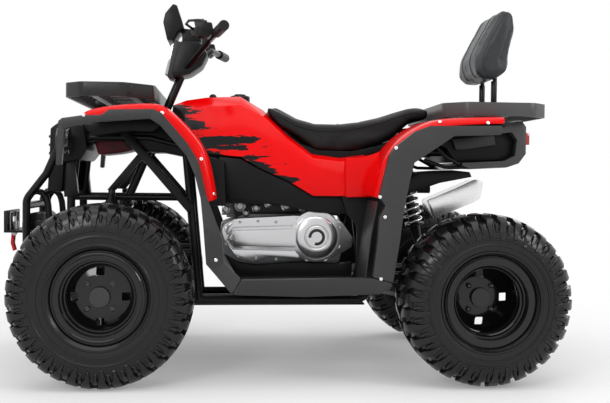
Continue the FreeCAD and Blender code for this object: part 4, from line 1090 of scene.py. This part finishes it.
CLOTH = {
    "use_pressure": True, "uniform_pressure_force": 4.0, "quality": 5,
    "tension_stiffness": 18.0, "compression_stiffness": 12.0,
}
CLOTH_FRAMES = 20


def swell(item, cap):
    """Blows a closed mesh up a little, by no more than the cap at any point."""
    start = [vertex.co.copy() for vertex in item.data.vertices]
    cloth = modify(item, "CLOTH")
    for key, value in CLOTH.items():
        setattr(cloth.settings, key, value)
    cloth.settings.effector_weights.gravity = 0.0
    cloth.point_cache.frame_start = 1
    cloth.point_cache.frame_end = CLOTH_FRAMES
    for step in range(1, CLOTH_FRAMES + 1):
        bpy.context.scene.frame_set(step)
    apply_all(item)
    bpy.context.scene.frame_set(1)
    for vertex, origin in zip(item.data.vertices, start):
        moved = vertex.co - origin
        if moved.length > cap:
            vertex.co = origin + moved.normalized() * cap
    modify(item, "SMOOTH", factor=0.5, iterations=10)


def soft_copy(name, node, voxel, cap, skin, shares=(1, 1, 1)):
    """A padded piece made from its CAD solid, which swells by no more than the cap."""
    key, slot = skin
    source = NODES[node].data.copy()
    source.materials.clear()
    low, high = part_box(node)
    for vertex in source.vertices:
        x, y, z = vertex.co
        vertex.co = (high.x - (high.x - x) * shares[0], y * shares[1],
                     low.z + (z - low.z) * shares[2])
    item = bpy.data.objects.new(name, source)
    link(item)
    bpy.context.view_layer.objects.active = item
    modify(item, "REMESH", mode="VOXEL", voxel_size=voxel, use_smooth_shade=True)
    modify(item, "SMOOTH", factor=0.5, iterations=6)
    apply_all(item)
    swell(item, cap)
    modify(item, "SUBSURF", levels=1, render_levels=1)
    apply_all(item)
    shade_smooth(item.data)
    item.data.materials.append(FINISHES[key])
    item.name = name
    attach(item, "chassis")
    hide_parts(node)
    return item


# How far outside a cushion the rays that find its seams start.
RAY_START = 0.3
SEAM_LIFT = 0.3


def seam(name, item, lines, radius, skin):
    """Piping laid on a padded piece along lines found by casting rays at it."""
    paths = []
    for rays in lines:
        hits = [item.ray_cast(origin, way) for origin, way in rays]
        paths.append([place + normal * radius * SEAM_LIFT for hit, place, normal, _ in hits if hit])
    pipe(name, paths, radius, skin, resolution=2, capped=False)


SEAT_STEPS = 60
SEAT_MARGIN = 0.012
SEAT_SEAM_DROP = 0.018
CROSS_STEPS = 30
CROSS_SEAM_PLACE = 0.44
CROSS_SEAM_HALF = 0.17


def make_seat():
    low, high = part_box("seat")
    item = soft_copy("seat_cushion", "seat", 0.006, 0.007, VINYL)
    length = high.x - low.x
    lines = []
    for side in (1, -1):
        rays = []
        for step in range(SEAT_STEPS + 1):
            share = step / SEAT_STEPS
            x = high.x - SEAT_MARGIN - (length - 2 * SEAT_MARGIN) * share
            top, place, _, _ = item.ray_cast(Vector((x, 0, high.z + RAY_START)), -UP)
            if top:
                level = place.z - SEAT_SEAM_DROP - SEAT_MARGIN * (1 - share)
                rays.append((Vector((x, side * 0.5, level)), -LEFT * side))
        lines.append(rays)
    x = high.x - length * CROSS_SEAM_PLACE
    lines.append([
        (Vector((x, CROSS_SEAM_HALF * (2 * step / CROSS_STEPS - 1), high.z + RAY_START)), -UP)
        for step in range(CROSS_STEPS + 1)
    ])
    seam("seat_seams", item, lines, 0.0016, VINYL)


BACKREST_SHARES = (0.86, 0.76, 0.92)
BACKREST_STEPS = 40
BACKREST_MARGIN = 0.01
FACE_SEAM = 0.050
SIDE_SEAM_DEPTH = 0.030
STAY_SIDE = 0.078
STAY_LINE = ((-0.801, 0.985), (-0.803, 1.04), (-0.812, 1.10), (-0.822, 1.15))


def make_backrest():
    low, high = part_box("backrest_pad")
    item = soft_copy("backrest_cushion", "backrest_pad", 0.005, 0.006,
                     ("pad_front", "backrest_leather"), BACKREST_SHARES)
    height = (high.z - low.z) * BACKREST_SHARES[2]
    lines = []
    for side in (1, -1):
        rays, side_rays = [], []
        for step in range(BACKREST_STEPS + 1):
            z = low.z + BACKREST_MARGIN + (height - 2 * BACKREST_MARGIN) * step / BACKREST_STEPS
            ray = (Vector((high.x + RAY_START, side * FACE_SEAM, z)), -FORWARD)
            rays.append(ray)
            front, place, _, _ = item.ray_cast(*ray)
            if front:
                edge = Vector((place.x - SIDE_SEAM_DEPTH, side * 0.4, z))
                side_rays.append((edge, -LEFT * side))
        lines += [rays, side_rays]
    seam("backrest_seams", item, lines, 0.0014, ("mark_black", "backrest_leather"))
    posts = [[(x, y, z) for x, z in STAY_LINE] for y in (-STAY_SIDE, STAY_SIDE)]
    pipe("backrest_stays", posts, 0.0078, TUBE)
    # the sides and back get the darker copy of the leather as painted shade, the front face keeps
    # the lighter one as a painted sheen
    mesh = item.data
    mesh.materials.append(FINISHES["pad_side"])
    for polygon in mesh.polygons:
        if abs(polygon.normal.y) > 0.72 or polygon.normal.x < -0.3:
            polygon.material_index = 1


WHITE = (1, 1, 1, 1)
FLOOR_COLOR = (0.90, 0.90, 0.90, 1)
FLOOR_HALF = 9.0
# the floor turns white between these distances from the middle
FLOOR_FADE = (1.0, 2.6)
FLOOR_GLOW = (0.25, 1.0)
WORLD_STRENGTH = 0.55
# lights: name, place, what they look at, energy, size
LIGHTS = (
    ("top_box", (0.2, 0.6, 3.6), (0, 0, 0.4), 70.0, 4.0),
    ("side_box", (1.9, 3.6, 2.4), (0, 0, 0.5), 38.0, 1.1),
    ("tail_box", (-2.9, 2.2, 2.0), (0, 0, 0.5), 22.0, 0.9),
    ("rear_box", (-2.4, -2.6, 2.6), (0, 0, 0.6), 30.0, 2.0),
)


SEEN_RAYS = ("Camera", "Glossy", "Transmission")


def background_rays(tree):
    """One for rays from the camera, reflections and glass, else nought."""
    path = add(tree, "LightPath")
    camera, glossy, glass = (path.outputs[f"Is {kind} Ray"] for kind in SEEN_RAYS)
    return math_node(tree, "MAXIMUM", math_node(tree, "MAXIMUM", camera, glossy), glass)


def make_floor():
    """A white floor that keeps the vehicle's shadow."""
    corners = [(-1, -1), (1, -1), (1, 1), (-1, 1)]
    mesh = bpy.data.meshes.new("floor")
    mesh.from_pydata([(x * FLOOR_HALF, y * FLOOR_HALF, 0) for x, y in corners], [], [(0, 1, 2, 3)])
    floor = bpy.data.objects.new("floor", mesh)
    link(floor)
    material, tree = node_tree("floor")
    lit = add(tree, "BsdfDiffuse", Color=FLOOR_COLOR).outputs[0]
    glow = add(tree, "Emission", Color=WHITE, Strength=1.0).outputs[0]
    place = add(tree, "TexCoord")
    far = add(tree, "VectorMath")
    far.operation = "LENGTH"
    feed(tree, far.inputs[0], place.outputs["Object"])
    fade = ranged(tree, far.outputs["Value"], FLOOR_FADE, FLOOR_GLOW)
    fade.interpolation_type = "SMOOTHSTEP"
    faded = mix_shaders(tree, fade.outputs["Result"], lit, glow)
    surface = mix_shaders(tree, background_rays(tree), lit, faded)
    add(tree, "OutputMaterial", Surface=surface)
    mesh.materials.append(material)


def make_world():
    """A world that is white behind the vehicle and dimmer as a light."""
    world = bpy.data.worlds.new("studio")
    world.use_nodes = True
    tree = world.node_tree
    tree.nodes.clear()
    dim, white = (
        add(tree, "Background", Color=WHITE, Strength=strength).outputs[0]
        for strength in (WORLD_STRENGTH, 1.0)
    )
    add(tree, "OutputWorld", Surface=mix_shaders(tree, background_rays(tree), dim, white))
    bpy.context.scene.world = world


def make_lights():
    for name, place, aim, energy, size in LIGHTS:
        data = bpy.data.lights.new(name, "AREA")
        data.energy = energy
        data.size = size
        lamp = bpy.data.objects.new(name, data)
        lamp.location = place
        lamp.rotation_euler = (Vector(aim) - Vector(place)).to_track_quat("-Z", "Y").to_euler()
        link(lamp)


make_camera()
dress_nodes()
make_tyres()
make_bolts(make_fenders())
make_front()
make_tail()
make_middle()
make_controls()
make_shocks()
make_winch_details()
make_wheels()
make_cvt_details()
make_seat()
make_backrest()
make_floor()
make_world()
make_lights()
bpy.context.scene.view_settings.view_transform = "Standard"
